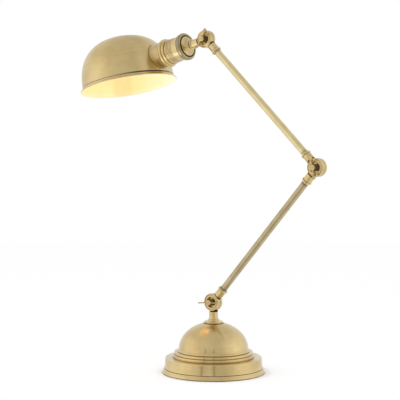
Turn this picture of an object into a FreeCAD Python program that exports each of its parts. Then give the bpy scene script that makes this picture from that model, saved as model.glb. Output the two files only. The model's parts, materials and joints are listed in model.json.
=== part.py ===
import FreeCAD, Part
import math
import os

from FreeCAD import Vector

# Lamp base, millimetres: the round foot and each step's width drawn in from it
base_radius = 90.8
base_wall = 1.6
felt_thickness = 2.0
felt_margin = 0.8
felt_stand_out = 0.8
plate_thickness = 1.6
plate_play = 0.3
foot_rim = 3.0
flange_height = 7.3
flange_slope = 3.6
flange_bulge = 0.3
flange_width = 4.9
drum_height = 18.2
drum_taper = 1.2
drum_rounding = 1.2
groove_depth = 0.9
groove_height = 0.6
shoulder_rise = 0.2
shoulder_width = 12.8
outer_step_height = 5.2
outer_step_width = 2.5
step_rise = 0.4
inner_step_height = 4.35
inner_step_width = 5.4
step_bulge = 0.5
dome_foot_height = 2.85
dome_foot_bulge = 0.9
dome_foot_flare = 2.6
dome_height = 48.87
dome_rise = 2.55
dome_start_angle = 5.0

# Ballast and what is screwed to it
ballast_height = 20.0
ballast_play = 1.5
ballast_bore = 16.0
ballast_slot = 11.0
screw_count = 3
screw_ring = 52.0
screw_radius = 2.0
screw_head_radius = 3.6
screw_head_height = 1.2
screw_slot = 1.0
screw_depth = 11.0

# Mains cord entry at the back of the drum
entry_height = 16.0
entry_radius = 5.0
bushing_lip_radius = 7.0
bushing_lip = 1.6
bushing_bore = 3.2
bushing_inside = 1.0
flex_radius = 2.8
flex_bend = 20.0
flex_rest_gap = 0.3

# Swivel between the dome and the neck
swivel_plate_radius = 17.65
swivel_plate_height = 2.3
swivel_ring_radius = 15.3
swivel_ring_height = 1.8
swivel_stop_deg = 170.0
stop_pin_radius = 1.0
stop_pin_ring = 12.4
stop_pin_height = 0.9
stop_pin_depth = 1.2
stop_play = 0.25
nipple_radius = 5.0
nipple_bore = 3.6
nut_across_flats = 16.0
nut_height = 4.0
washer_radius = 9.0
washer_height = 1.2
nipple_below_nut = 2.0

# Arms and the pose they stand in
arm_length = 320.0
lower_arm_deg = 47.9
upper_arm_deg = 136.1
head_deg = 192.4
tube_radius = 6.0
tube_wall = 1.0

# Knuckles
knuckle_radius = 15.4
knuckle_half = 7.4
friction_thickness = 0.8
friction_margin = 0.8
rim_rounding = 0.8
back_rounding = 3.2
cove_width = 3.2
cove_depth = 1.3
ring_width = 3.2
ring_rise = 0.5
recess_floor = 3.2
collar_slot = 1.3
collar_radius = 7.5
collar_length = 17.0
collar_ring_radius = 8.8
collar_ring_width = 3.2
collar_lip_radius = 6.8
collar_lip = 1.6
collar_groove = 0.5
tube_socket = 12.5
web_depth = 5.6
neck_radius = 7.7
neck_length = 16.15
neck_band_radius = 9.3
neck_band = 3.4
neck_flare = 3.0

# Thumb screws
thumb_screw_radius = 2.95
thumb_hub_radius = 4.6
thumb_hub_end = 16.0
thumb_wing_reach = 20.0
thumb_wing_end = 20.5
thumb_wing_foot = 9.0
thumb_wing_thickness = 1.8
thumb_angles_deg = (4.0, 104.0, 56.0)
spring_washer_radius = 6.6
spring_washer_height = 1.2

# Lampholder: lengths follow each other from the head knuckle's collar towards the shade
holder_nipple_wall = 1.8
holder_nipple_inside = 7.0
head_collar_extra = 0.4
head_collar_lip = 0.4
cap_boss_gap = 1.9
cap_boss_radius = 7.0
cap_cone_length = 7.8
cap_inset = 3.0
cap_wall = 1.6
cap_groove = 1.25
cap_ring_stand_out = 2.8
cap_ring_length = 8.6
sleeve_radius = 21.5
sleeve_wall = 1.3
sleeve_length = 28.6
sleeve_beads = 4
sleeve_bead_margin = 2.0
sleeve_bead_pitch = 3.6
sleeve_bead_height = 0.45
shade_ring_stand_out = 4.2
shade_ring_step = 1.9
shade_ring_length = 12.4
fitter_stand_out = 1.5
fitter_wall = 1.3
fitter_length = 16.0

# Lampholder insert and bulb
insert_play = 1.8
insert_inset = 13.6
insert_length = 46.0
insert_floor = 6.0
insert_flange = 3.0
thread_shell_wall = 0.7
thread_shell_length = 26.0
thread_play = 0.8
contact_radius = 3.2
contact_height = 4.0
terminal_radius = 2.2
terminal_length = 5.0
bulb_cap_radius = 13.1
bulb_cap_length = 25.0
bulb_cap_tip = 4.6
bulb_thread_pitch = 3.6
bulb_thread_depth = 0.6
bulb_cap_wall = 0.9
bulb_cap_floor = 3.0
bulb_radius = 22.5
bulb_length = 78.0
bulb_neck_radius = 12.2
glass_wall = 0.8

# Shade
shade_drop = 34.9
shade_radius = 85.1
shade_height = 88.8
shade_foot = 3.6
shade_power = 2.49
shade_wall = 0.8
rim_height = 7.8
rim_flare = 4.2
rim_roll = 1.2
rim_groove = 0.2
liner_gap = 0.1
liner_thickness = 0.6

# Clearances
running_play = 0.05
fit_play = 0.05
cut_margin = 1.0

origin = Vector(0, 0, 0)
x_axis = Vector(1, 0, 0)
y_axis = Vector(0, 1, 0)
z_axis = Vector(0, 0, 1)
hinge_axis = Vector(0, -1, 0)


# A face in the XZ plane. Each step is a line (x, z), an arc (x, z, x, z)
# or a list of points for a smooth curve.
def outline(start, *steps):
    edges = []
    first = Vector(start[0], 0, start[1])
    here = first
    for step in steps:
        if isinstance(step, list):
            points = [here] + [Vector(x, 0, z) for x, z in step]
            there = points[-1]
            curve = Part.BSplineCurve()
            curve.interpolate(points)
            edges.append(curve.toShape())
        elif len(step) == 4:
            there = Vector(step[2], 0, step[3])
            middle = Vector(step[0], 0, step[1])
            edges.append(Part.Arc(here, middle, there).toShape())
        else:
            there = Vector(step[0], 0, step[1])
            edges.append(Part.makeLine(here, there))
        here = there
    if here.distanceToPoint(first) > 1e-6:
        edges.append(Part.makeLine(here, first))
    return Part.Face(Part.Wire(edges))


# A solid of revolution about Z from an outline of (radius, height)
def turned(start, *steps):
    solid = outline(start, *steps).revolve(origin, z_axis, 360)
    if solid.Volume < 0:
        solid.reverse()
    return solid


def tube(outer, inner, low, high):
    return turned((inner, low), (outer, low), (outer, high), (inner, high))


def rod(radius, low, high):
    return Part.makeCylinder(radius, high - low, Vector(0, 0, low))


# Heights become distances along +X
def along_x(shape):
    laid = shape.copy()
    laid.rotate(origin, y_axis, 90)
    return laid


# Heights become distances towards -Y, the front of a knuckle
def to_front(shape):
    laid = shape.copy()
    laid.rotate(origin, x_axis, 90)
    return laid


def posed(shape, pivot, degrees):
    placed = shape.copy()
    placed.rotate(origin, hinge_axis, degrees)
    placed.translate(pivot)
    return placed


def moved(shape, x, y, z):
    copy = shape.copy()
    copy.translate(Vector(x, y, z))
    return copy


def box(x0, x1, y0, y1, z0, z1):
    return Part.makeBox(x1 - x0, y1 - y0, z1 - z0, Vector(x0, y0, z0))


def single(shape):
    if len(shape.Solids) == 1:
        return shape.Solids[0]
    return shape


def direction(degrees):
    angle = math.radians(degrees)
    return Vector(math.cos(angle), 0, math.sin(angle))


def curve_points(curve, first, last, count):
    return [curve(first + (last - first) * step / count) for step in range(1, count + 1)]


# Heights and radii of the base
plate_bottom = felt_thickness
plate_top = plate_bottom + plate_thickness
ballast_top = plate_top + ballast_height
shell_bottom = felt_stand_out
plate_radius = base_radius - foot_rim - plate_play
foot_top = shell_bottom + flange_height
drum_foot_radius = base_radius - flange_width
drum_radius = drum_foot_radius - drum_taper
drum_groove_top = foot_top + groove_height
drum_top = drum_groove_top + drum_height
shoulder_top = drum_top + shoulder_rise
outer_step_radius = drum_radius - shoulder_width
outer_step_top = shoulder_top + outer_step_height
outer_land = outer_step_top + step_rise
inner_step_radius = outer_step_radius - outer_step_width
inner_step_top = outer_land + inner_step_height
inner_land = inner_step_top + step_rise
dome_foot_radius = inner_step_radius - inner_step_width
dome_foot_top = inner_land + dome_foot_height
dome_radius = dome_foot_radius - dome_foot_flare
dome_centre = inner_land + dome_rise
seat_radius = swivel_plate_radius + 0.2
seat_top = dome_centre + dome_height * math.sqrt(1 - (seat_radius / dome_radius) ** 2)
seat_inner = seat_top - base_wall
flange_top = seat_top + swivel_plate_height
neck_foot = flange_top + swivel_ring_height
washer_bottom = seat_inner - washer_height
nut_bottom = washer_bottom - nut_height
nipple_bottom = nut_bottom - nipple_below_nut

# Knuckles and collars, distances from a pivot
half_gap = friction_thickness / 2
ring_outer = knuckle_radius - cove_width
ring_inner = ring_outer - ring_width
collar_start = knuckle_radius + collar_slot
collar_end = collar_start + collar_length
neck_end = collar_start + neck_length
socket_floor = collar_end - tube_socket
tube_bore = tube_radius - tube_wall
pin_hole_radius = thumb_screw_radius + running_play
hub_seat = recess_floor + spring_washer_height

# Pivots of the arms
base_pivot = Vector(0, 0, neck_foot + neck_end)
elbow_pivot = base_pivot + direction(lower_arm_deg) * arm_length
head_pivot = elbow_pivot + direction(upper_arm_deg) * arm_length

# Lampholder, distances from the head pivot towards the shade
head_collar_end = collar_end + head_collar_extra
cap_boss_start = head_collar_end + cap_boss_gap
holder_nipple_end = cap_boss_start + holder_nipple_inside
cap_start = cap_boss_start + cap_cone_length
cap_radius = sleeve_radius - cap_inset
cap_ring_radius = sleeve_radius + cap_ring_stand_out
sleeve_start = cap_start + cap_ring_length
sleeve_end = sleeve_start + sleeve_length
sleeve_bead_start = sleeve_end - sleeve_bead_margin - sleeve_beads * sleeve_bead_pitch
shade_ring_radius = sleeve_radius + shade_ring_stand_out
shade_ring_end = sleeve_end + shade_ring_length
fitter_radius = sleeve_radius + fitter_stand_out
fitter_bore = fitter_radius - fitter_wall
shade_axis = shade_ring_end + fitter_length + shade_radius
thread_shell_radius = bulb_cap_radius + thread_play + thread_shell_wall
insert_radius = sleeve_radius - sleeve_wall - insert_play
insert_bore = thread_shell_radius + thread_play
insert_start = sleeve_start + insert_inset
insert_end = insert_start + insert_length
shell_seat = insert_start + insert_floor
bulb_seat = shell_seat + contact_height
rim_radius = shade_radius + rim_flare


def dome_curve(inset):
    def point(degrees):
        angle = math.radians(degrees)
        reach = (dome_radius - inset) * math.cos(angle)
        rise = dome_centre + (dome_height - inset) * math.sin(angle)
        return reach, rise
    return point


def dome_angle_at(height, inset):
    return math.degrees(math.asin((height - dome_centre) / (dome_height - inset)))


# Stepped drum and dome in one spun shell, with a flat seat for the swivel at the top
def make_base_shell():
    outer = dome_curve(0.0)
    inner = dome_curve(base_wall)
    bore = nipple_radius + running_play
    drum_inner = drum_radius - base_wall - groove_depth
    outer_start = outer(dome_start_angle)
    inner_start = inner(dome_start_angle)
    outer_angle = dome_angle_at(seat_top, 0.0)
    inner_angle = dome_angle_at(seat_inner, base_wall)
    edge = 0.3
    step_inset = base_wall + groove_depth
    flange_edge = base_radius - flange_slope
    dome_edge = dome_foot_radius - dome_foot_bulge
    face = outline(
        (plate_radius + plate_play, shell_bottom),
        (base_radius - edge, shell_bottom),
        (base_radius, shell_bottom + edge),
        ((base_radius + flange_edge) / 2 + flange_bulge, (shell_bottom + foot_top) / 2 + flange_bulge / 2,
         flange_edge + edge, foot_top - edge),
        (flange_edge - edge, foot_top),
        (drum_foot_radius - groove_depth, foot_top),
        (drum_foot_radius - groove_depth, drum_groove_top),
        (drum_foot_radius, drum_groove_top),
        (drum_radius, drum_top - drum_rounding),
        (drum_radius - 0.3 * drum_rounding, drum_top - 0.3 * drum_rounding,
         drum_radius - drum_rounding, drum_top),
        (outer_step_radius + step_bulge, shoulder_top),
        (outer_step_radius - step_bulge, shoulder_top),
        (outer_step_radius, (shoulder_top + outer_step_top) / 2, outer_step_radius - step_bulge, outer_step_top),
        (inner_step_radius + step_bulge, outer_land),
        (inner_step_radius - step_bulge, outer_land),
        (inner_step_radius, (outer_land + inner_step_top) / 2, inner_step_radius - step_bulge, inner_step_top),
        (dome_foot_radius + step_bulge, inner_land),
        (dome_edge, inner_land),
        (dome_foot_radius, (inner_land + dome_foot_top) / 2, dome_edge, dome_foot_top),
        ((dome_edge + 3 * outer_start[0]) / 4, (dome_foot_top + outer_start[1]) / 2 - 0.2 * dome_foot_flare,
         outer_start[0], outer_start[1]),
        curve_points(outer, dome_start_angle, outer_angle, 10),
        (bore, seat_top),
        (bore, seat_inner),
        inner(inner_angle),
        curve_points(inner, inner_angle, dome_start_angle, 10),
        (inner_start[0], inner_land - base_wall),
        (inner_step_radius - step_inset, inner_land - base_wall),
        (inner_step_radius - step_inset, outer_land - base_wall),
        (outer_step_radius - step_inset, outer_land - base_wall),
        (outer_step_radius - step_inset, drum_top - base_wall),
        (drum_inner, drum_top - base_wall),
        (drum_inner, plate_top),
        (plate_radius + plate_play, plate_top))
    shell = face.revolve(origin, z_axis, 360)
    entry = rod(entry_radius + fit_play, 0, base_radius)
    entry.rotate(origin, x_axis, -90)
    entry.translate(Vector(0, 0, entry_height))
    return single(shell.cut(entry))


def make_screws():
    screws = []
    for index in range(screw_count):
        shank = rod(screw_radius, plate_bottom - screw_head_height, plate_bottom + screw_depth)
        head = rod(screw_head_radius, plate_bottom - screw_head_height, plate_bottom)
        slot = box(-screw_head_radius, screw_head_radius, -screw_slot / 2, screw_slot / 2,
                   plate_bottom - screw_head_height, plate_bottom - screw_head_height / 2)
        screw = moved(shank.fuse(head).cut(slot), screw_ring, 0, 0)
        screw.rotate(origin, z_axis, 360 / screw_count * (index + 0.25))
        screws.append(screw.removeSplitter())
    return screws


def screw_holes(radius, low, high):
    holes = []
    for index in range(screw_count):
        hole = moved(rod(radius, low, high), screw_ring, 0, 0)
        hole.rotate(origin, z_axis, 360 / screw_count * (index + 0.25))
        holes.append(hole)
    return Part.makeCompound(holes)


def make_felt():
    pad = rod(plate_radius - felt_margin, 0, felt_thickness)
    return single(pad.cut(screw_holes(screw_head_radius + 0.4, -cut_margin, felt_thickness + cut_margin)))


def make_plate():
    plate = rod(plate_radius, plate_bottom, plate_top)
    return single(plate.cut(screw_holes(screw_radius + fit_play, 0, plate_top + cut_margin)))


# Flat iron disc with a slot that lets the flex run from the drum to the middle
def make_ballast():
    outer = drum_radius - base_wall - groove_depth - ballast_play
    disc = tube(outer, ballast_bore, plate_top, ballast_top)
    slot = box(-ballast_slot / 2, ballast_slot / 2, 0, outer + cut_margin,
               entry_height - flex_radius - flex_rest_gap, ballast_top + cut_margin)
    holes = screw_holes(screw_radius + fit_play, 0, plate_bottom + screw_depth + cut_margin)
    return single(disc.cut(slot).cut(holes))


# Rubber grommet in the drum wall, with a lip outside
def make_entry_bushing():
    inside = drum_radius - base_wall - groove_depth
    outside = drum_foot_radius + bushing_lip
    curve_drop = drum_radius - math.sqrt(drum_radius ** 2 - bushing_lip_radius ** 2)
    body = tube(entry_radius, bushing_bore, inside - bushing_inside, outside)
    lip = tube(bushing_lip_radius, bushing_bore, drum_radius - curve_drop, outside)
    body.rotate(origin, x_axis, -90)
    lip.rotate(origin, x_axis, -90)
    body.translate(Vector(0, 0, entry_height))
    lip.translate(Vector(0, 0, entry_height))
    drum = turned((0, foot_top), (drum_foot_radius + fit_play, foot_top), (drum_foot_radius + fit_play, drum_groove_top),
                  (drum_radius + fit_play, drum_top), (0, drum_top))
    return single(body.fuse(lip.cut(drum)).removeSplitter())


# Flex from the grommet to the middle of the base, then up to the nipple
def make_base_flex():
    start = Vector(0, drum_radius, entry_height)
    corner = Vector(0, 0, entry_height)
    end = Vector(0, 0, nipple_bottom - flex_rest_gap)
    arc_start = corner + y_axis * flex_bend
    arc_end = corner + z_axis * flex_bend
    centre = arc_start + z_axis * flex_bend
    middle = centre - (y_axis + z_axis) * (flex_bend / math.sqrt(2))
    path = Part.Wire([
        Part.makeLine(start, arc_start),
        Part.Arc(arc_start, middle, arc_end).toShape(),
        Part.makeLine(arc_end, end)])
    section = Part.Wire(Part.makeCircle(flex_radius, start, y_axis))
    return single(path.makePipeShell([section], True, False))


def make_swivel_plate():
    bore = nipple_radius + running_play
    plate = turned(
        (bore, seat_top), (swivel_plate_radius - 0.3, seat_top), (swivel_plate_radius, seat_top + 0.4),
        (swivel_plate_radius, seat_top + 0.9),
        (swivel_plate_radius - 0.7, flange_top - 0.4, swivel_ring_radius + 0.3, flange_top),
        (bore, flange_top))
    hole = moved(rod(stop_pin_radius + fit_play, flange_top - stop_pin_depth, flange_top + cut_margin),
                 -stop_pin_ring, 0, 0)
    return single(plate.cut(hole))


def make_stop_pin():
    return moved(rod(stop_pin_radius, flange_top - stop_pin_depth, flange_top + stop_pin_height),
                 -stop_pin_ring, 0, 0)


# The ring turns on the plate, and its hidden groove ends where the pin stops it
def make_swivel_ring():
    edge = 0.5
    bore = nipple_radius + fit_play
    middle = flange_top + swivel_ring_height / 2
    ring = turned(
        (bore, flange_top), (swivel_ring_radius, flange_top),
        (swivel_ring_radius + edge / 2, middle, swivel_ring_radius - edge, neck_foot),
        (bore, neck_foot))
    pin_half = math.degrees(math.asin((stop_pin_radius + stop_play) / stop_pin_ring))
    wall_half = 180 - swivel_stop_deg - pin_half
    groove = tube(stop_pin_ring + stop_pin_radius + stop_play, stop_pin_ring - stop_pin_radius - stop_play,
                  flange_top - cut_margin, flange_top + stop_pin_height + stop_play)
    wall_width = 2 * stop_pin_ring * math.sin(math.radians(wall_half))
    wall = box(0, swivel_ring_radius, -wall_width / 2, wall_width / 2, flange_top - cut_margin, neck_foot)
    return single(ring.cut(groove.cut(wall)))


def make_nipple():
    return tube(nipple_radius, nipple_bore, nipple_bottom, base_pivot.z - socket_floor)


def make_washer():
    return tube(washer_radius, nipple_radius + fit_play, washer_bottom, seat_inner)


def make_lock_nut():
    corners = []
    for index in range(7):
        angle = math.radians(60 * index)
        reach = nut_across_flats / math.sqrt(3)
        corners.append(Vector(reach * math.cos(angle), reach * math.sin(angle), nut_bottom))
    hexagon = Part.Face(Part.makePolygon(corners)).extrude(Vector(0, 0, nut_height))
    bore = rod(nipple_radius + fit_play, nut_bottom - cut_margin, washer_bottom + cut_margin)
    return single(hexagon.cut(bore))


# Front half of a knuckle: straight edge, shallow cove, then a raised ring round a deep recess
def front_half():
    cove_outer = knuckle_radius - rim_rounding
    return to_front(turned(
        (pin_hole_radius, half_gap), (knuckle_radius - 0.4, half_gap), (knuckle_radius, half_gap + 0.4),
        (knuckle_radius, knuckle_half - rim_rounding),
        (knuckle_radius - 0.3 * rim_rounding, knuckle_half - 0.3 * rim_rounding, cove_outer, knuckle_half),
        ((cove_outer + ring_outer) / 2, knuckle_half - cove_depth, ring_outer, knuckle_half - cove_depth / 2),
        ((ring_outer + ring_inner) / 2, knuckle_half + ring_rise, ring_inner, knuckle_half - cove_depth / 2),
        (ring_inner, recess_floor), (pin_hole_radius, recess_floor)))


# Back half of a knuckle, flat with a broad rounded edge
def back_half():
    round_start = knuckle_half - back_rounding
    return to_front(turned(
        (pin_hole_radius, -half_gap), (knuckle_radius - 0.4, -half_gap), (knuckle_radius, -half_gap - 0.4),
        (knuckle_radius, -round_start),
        (knuckle_radius - 0.3 * back_rounding, -knuckle_half + 0.3 * back_rounding,
         knuckle_radius - back_rounding, -knuckle_half),
        (pin_hole_radius, -knuckle_half)))


# Web that joins one half to its collar, on the half's own side of the joint line
def knuckle_web(side, radius):
    bar = along_x(rod(radius, ring_inner + 1.6, collar_start + 0.6))
    near, far = sorted((-side * half_gap, -side * web_depth))
    keep = box(0, collar_end, near, far, -radius, radius)
    return bar.common(keep)


def collar(end, lip):
    ring_start = end - lip - collar_ring_width
    ring_end = ring_start + collar_ring_width
    bore = tube_radius + fit_play
    return along_x(turned(
        (0, collar_start), (collar_radius - 0.5, collar_start), (collar_radius, collar_start + 0.5),
        (collar_radius, ring_start - collar_groove),
        (collar_radius - collar_groove, ring_start - collar_groove),
        (collar_radius - collar_groove, ring_start),
        (collar_ring_radius, (ring_start + ring_end) / 2, collar_radius - collar_groove, ring_end),
        (collar_lip_radius, ring_end), (collar_lip_radius, end), (bore, end),
        (bore, socket_floor), (0, socket_floor)))


def knuckle_with_collar(side, end=collar_end, lip=collar_lip):
    half = front_half() if side > 0 else back_half()
    return single(half.fuse([knuckle_web(side, collar_radius), collar(end, lip)]).removeSplitter())


# Post under the base knuckle: threaded on the nipple, flared to a band at its foot
def make_neck():
    band_start = neck_end - neck_band
    flare_start = band_start - neck_flare
    bore = nipple_radius + fit_play
    post = along_x(turned(
        (0, collar_start), (neck_radius - 0.5, collar_start), (neck_radius, collar_start + 0.5),
        (neck_radius, flare_start),
        (neck_radius + 0.4, (flare_start + band_start) / 2, neck_band_radius - 0.5, band_start),
        (neck_band_radius - 0.5, band_start + collar_groove),
        (neck_band_radius, band_start + collar_groove),
        (neck_band_radius, neck_end - 0.4), (neck_band_radius - 0.4, neck_end),
        (bore, neck_end), (bore, socket_floor), (0, socket_floor)))
    half = back_half()
    return single(half.fuse([knuckle_web(-1, neck_radius), post]).removeSplitter())


def make_friction_washer():
    return to_front(tube(knuckle_radius - friction_margin, pin_hole_radius, -half_gap, half_gap))


def make_spring_washer():
    return to_front(tube(spring_washer_radius, pin_hole_radius, recess_floor, hub_seat))


# Screw with a round hub and two thin wings that sweep forward
def make_thumb_screw(degrees):
    shank = rod(thumb_screw_radius, -knuckle_half + 0.4, hub_seat)
    hub = turned(
        (0, hub_seat), (thumb_hub_radius - 0.6, hub_seat), (thumb_hub_radius, hub_seat + 0.6),
        (thumb_hub_radius, thumb_hub_end - 0.8),
        (thumb_hub_radius - 0.2, thumb_hub_end - 0.2, thumb_hub_radius - 0.8, thumb_hub_end),
        (0, thumb_hub_end + 0.3))
    pieces = [hub]
    root = thumb_hub_radius - 1.2
    for side in (1, -1):
        wing = outline(
            (root, thumb_wing_foot), (thumb_hub_radius + 2.4, thumb_wing_foot + 0.4),
            (thumb_wing_reach - 3.2, thumb_wing_end - 8.6, thumb_wing_reach, thumb_wing_end - 4.2),
            (thumb_wing_reach - 0.4, thumb_wing_end - 1.0, thumb_wing_reach - 2.8, thumb_wing_end),
            (thumb_hub_radius + 4.4, thumb_hub_end + 0.6, root, thumb_hub_end - 0.8))
        plate = wing.extrude(Vector(0, thumb_wing_thickness, 0))
        plate.translate(Vector(0, -thumb_wing_thickness / 2, 0))
        if side < 0:
            plate.rotate(origin, z_axis, 180)
        pieces.append(plate)
    screw = to_front(shank.fuse(pieces).removeSplitter())
    screw.rotate(origin, hinge_axis, degrees)
    return single(screw)


def make_arm_tube():
    return along_x(tube(tube_radius, tube_bore, socket_floor, arm_length - socket_floor))


# The flex lies on the lower wall of the tube, on the side given by its sign
def make_arm_flex(side):
    drop = tube_bore - flex_radius - flex_rest_gap
    flex = along_x(rod(flex_radius, socket_floor, arm_length - socket_floor))
    return moved(flex, 0, 0, side * drop)


# Lampholder pieces, drawn along their own axis
def make_holder_nipple():
    return tube(tube_radius, tube_radius - holder_nipple_wall, socket_floor, holder_nipple_end)


def make_end_cap():
    inner = cap_radius - cap_wall
    skirt = sleeve_start - cap_start
    bore = tube_radius + fit_play
    return turned(
        (bore, cap_boss_start), (cap_boss_radius - 0.5, cap_boss_start),
        (cap_boss_radius, cap_boss_start + 0.6),
        (cap_boss_radius + 3.8, cap_start - 2.9, cap_radius - 0.8, cap_start - 0.6),
        (cap_radius - 0.1, cap_start - 0.3, cap_radius, cap_start + 0.4),
        (cap_radius, cap_start + skirt), (inner, cap_start + skirt),
        (inner, cap_start + cap_wall), (bore, cap_start - 0.2))


def make_cap_ring():
    inner = cap_radius + fit_play
    groove = inner + cap_groove
    start = cap_start - 0.4
    end = sleeve_start
    return turned(
        (inner, start + 2.2), (groove, start + 2.2), (groove, start + 0.6),
        (groove + 1.7, start - 0.1, cap_ring_radius - 1.2, start + 0.8),
        (cap_ring_radius - 0.3, start + 1.8, cap_ring_radius, start + 3.4),
        (cap_ring_radius, end - 3.0),
        (cap_ring_radius - 0.5, end - 2.4),
        (cap_ring_radius - 0.5, end - 0.6), (cap_ring_radius - 1.2, end), (inner, end))


def make_sleeve():
    inner = sleeve_radius - sleeve_wall
    steps = [(sleeve_radius, sleeve_start)]
    for index in range(sleeve_beads):
        low = sleeve_bead_start + sleeve_bead_pitch * index
        high = low + sleeve_bead_pitch * 0.8
        steps.append((sleeve_radius, low))
        steps.append((sleeve_radius + sleeve_bead_height, (low + high) / 2, sleeve_radius, high))
    steps.append((sleeve_radius, sleeve_end))
    steps.append((inner, sleeve_end))
    return turned((inner, sleeve_start), *steps)


# Two rounded steps that clamp the fitter collar on the sleeve
def make_shade_ring():
    inner = sleeve_radius - sleeve_wall
    middle = (sleeve_end + shade_ring_end) / 2
    low = shade_ring_radius - shade_ring_step
    return turned(
        (inner, sleeve_end), (sleeve_radius - 0.9, sleeve_end), (sleeve_radius - 0.9, sleeve_end + 0.7),
        (low - 0.8, sleeve_end + 0.7),
        (low, (sleeve_end + 0.7 + middle) / 2, low - 0.5, middle),
        (shade_ring_radius - 0.8, middle + 0.3),
        (shade_ring_radius, (middle + shade_ring_end) / 2, shade_ring_radius - 1.2, shade_ring_end),
        (inner, shade_ring_end))


def shade_curve(inset):
    def point(degrees):
        angle = math.radians(degrees)
        reach = (shade_radius - inset) * math.cos(angle) ** (2 / shade_power)
        rise = shade_foot + (shade_height - inset) * math.sin(angle) ** (2 / shade_power)
        return max(reach, 0.0), rise
    return point


def shade_angle_at(height, inset):
    return math.degrees(math.asin(((height - shade_foot) / (shade_height - inset)) ** (shade_power / 2)))


# Heights run from the rim up to the crown
def shade_solid(inset):
    curve = shade_curve(inset)
    first = shade_angle_at(rim_height, inset)
    start = curve(first)
    return turned((0, rim_height), start, curve_points(curve, first, 90, 24))


# Dome over a flared rim: a rolled lip, a concave flare and a groove line under the dome
def make_bare_shade():
    outer = shade_curve(0.0)
    inner = shade_curve(shade_wall)
    outer_first = shade_angle_at(rim_height, 0.0)
    inner_first = shade_angle_at(rim_height, shade_wall)
    side = outer(outer_first)[0]
    inner_side = inner(inner_first)[0]
    roll_centre = rim_radius - rim_roll
    flare_top = rim_height - 1.6
    return turned(
        (roll_centre - rim_roll, rim_roll), (roll_centre, 0, rim_radius, rim_roll),
        (roll_centre + 0.7, rim_roll + 1.0, roll_centre + 0.2, rim_roll + 1.3),
        (side + 0.36 * rim_flare, flare_top - 2.2, side + 0.9, flare_top),
        (side - rim_groove, flare_top + 0.2),
        (side - rim_groove, rim_height - 0.6),
        (side, rim_height), curve_points(outer, outer_first, 90, 24),
        (0, shade_foot + shade_height - shade_wall), curve_points(inner, 90, inner_first, 24),
        (inner_side, flare_top),
        (inner_side + 0.3 * rim_flare, flare_top - 2.4, roll_centre - rim_roll, rim_roll))


def make_bare_liner():
    outer = shade_curve(shade_wall + liner_gap)
    inner = shade_curve(shade_wall + liner_gap + liner_thickness)
    outer_first = shade_angle_at(rim_height, shade_wall + liner_gap)
    inner_first = shade_angle_at(rim_height, shade_wall + liner_gap + liner_thickness)
    top = shade_foot + shade_height - shade_wall - liner_gap - liner_thickness
    return turned(
        inner(inner_first), outer(outer_first), curve_points(outer, outer_first, 90, 24), (0, top),
        curve_points(inner, 90, inner_first, 24))


# From the shade's own frame to the head's: the crown points to -Z and the rim to +Z
def on_head(shape):
    turned_over = shape.copy()
    turned_over.rotate(origin, x_axis, 180)
    turned_over.translate(Vector(shade_axis, 0, shade_drop))
    return turned_over


def make_fitter():
    pipe = along_x(tube(fitter_radius, fitter_bore, shade_ring_end, shade_axis - shade_radius / 2))
    return single(pipe.cut(on_head(shade_solid(0.0))))


def make_shade():
    hole = along_x(rod(fitter_bore, shade_ring_end, shade_axis))
    return single(on_head(make_bare_shade()).cut(hole))


def make_liner():
    hole = along_x(rod(fitter_bore, shade_ring_end, shade_axis))
    return single(on_head(make_bare_liner()).cut(hole))


# Porcelain cup that seats in the sleeve and carries the thread shell
def make_insert():
    seat = sleeve_radius - sleeve_wall - fit_play
    flange_end = sleeve_end - 1.0
    hole = contact_radius - 1.0
    return turned(
        (hole, insert_start), (insert_radius, insert_start), (insert_radius, flange_end - insert_flange),
        (seat, flange_end - insert_flange), (seat, flange_end), (insert_radius, flange_end),
        (insert_radius, insert_end - 1.0), (insert_radius - 1.0, insert_end), (insert_bore, insert_end),
        (insert_bore, shell_seat), (hole, shell_seat))


def make_thread_shell():
    end = shell_seat + thread_shell_length
    inner = thread_shell_radius - thread_shell_wall
    hole = contact_radius + 3.0
    return turned(
        (hole, shell_seat), (thread_shell_radius, shell_seat), (thread_shell_radius, end), (inner, end),
        (inner, shell_seat + thread_shell_wall), (hole, shell_seat + thread_shell_wall))


def make_centre_contact():
    stem = rod(contact_radius - 1.0 - fit_play, insert_start, shell_seat)
    head = rod(contact_radius, shell_seat, shell_seat + contact_height)
    return single(stem.fuse(head).removeSplitter())


def make_terminals():
    terminals = []
    for side in (1, -1):
        screw = rod(terminal_radius, insert_start - terminal_length, insert_start)
        terminals.append(moved(screw, 0, side * insert_radius / 2, 0))
    return terminals


# Screw cap with rounded threads above an insulated tip, hollow behind it
def make_bulb_cap():
    tip = bulb_seat
    start = tip + bulb_cap_tip
    end = tip + bulb_cap_length
    root = bulb_cap_radius - bulb_thread_depth
    inner = root - bulb_cap_wall
    steps = [(contact_radius, tip), (root - 3.0, start - 1.0), (root, start)]
    turns = int((end - start - 1.0) / bulb_thread_pitch)
    for index in range(turns):
        low = start + 0.4 + bulb_thread_pitch * index
        steps.append((root, low))
        steps.append((bulb_cap_radius, low + bulb_thread_pitch * 0.45, root, low + bulb_thread_pitch * 0.9))
    steps += [(root, end), (inner, end), (inner, start + bulb_cap_floor), (0, start + bulb_cap_floor)]
    return turned((0, tip), *steps)


# Neck, shoulder and ball of the glass, drawn inset for its inner wall
def bulb_body(inset):
    start = bulb_seat + bulb_cap_length + inset
    centre = bulb_seat + bulb_length - bulb_radius
    radius = bulb_radius - inset
    neck = bulb_neck_radius - inset
    join = math.radians(40)
    across = radius * math.cos(join)
    below = radius * math.sin(join)
    crown = radius * math.sin(math.radians(45))
    return turned(
        (0, start), (neck, start), (neck + 0.8, (start + centre - below) / 2, across, centre - below),
        (radius, centre, across, centre + below), (crown, centre + crown, 0, centre + radius))


def make_bulb_glass():
    return single(bulb_body(0.0).cut(bulb_body(glass_wall)))


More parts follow.
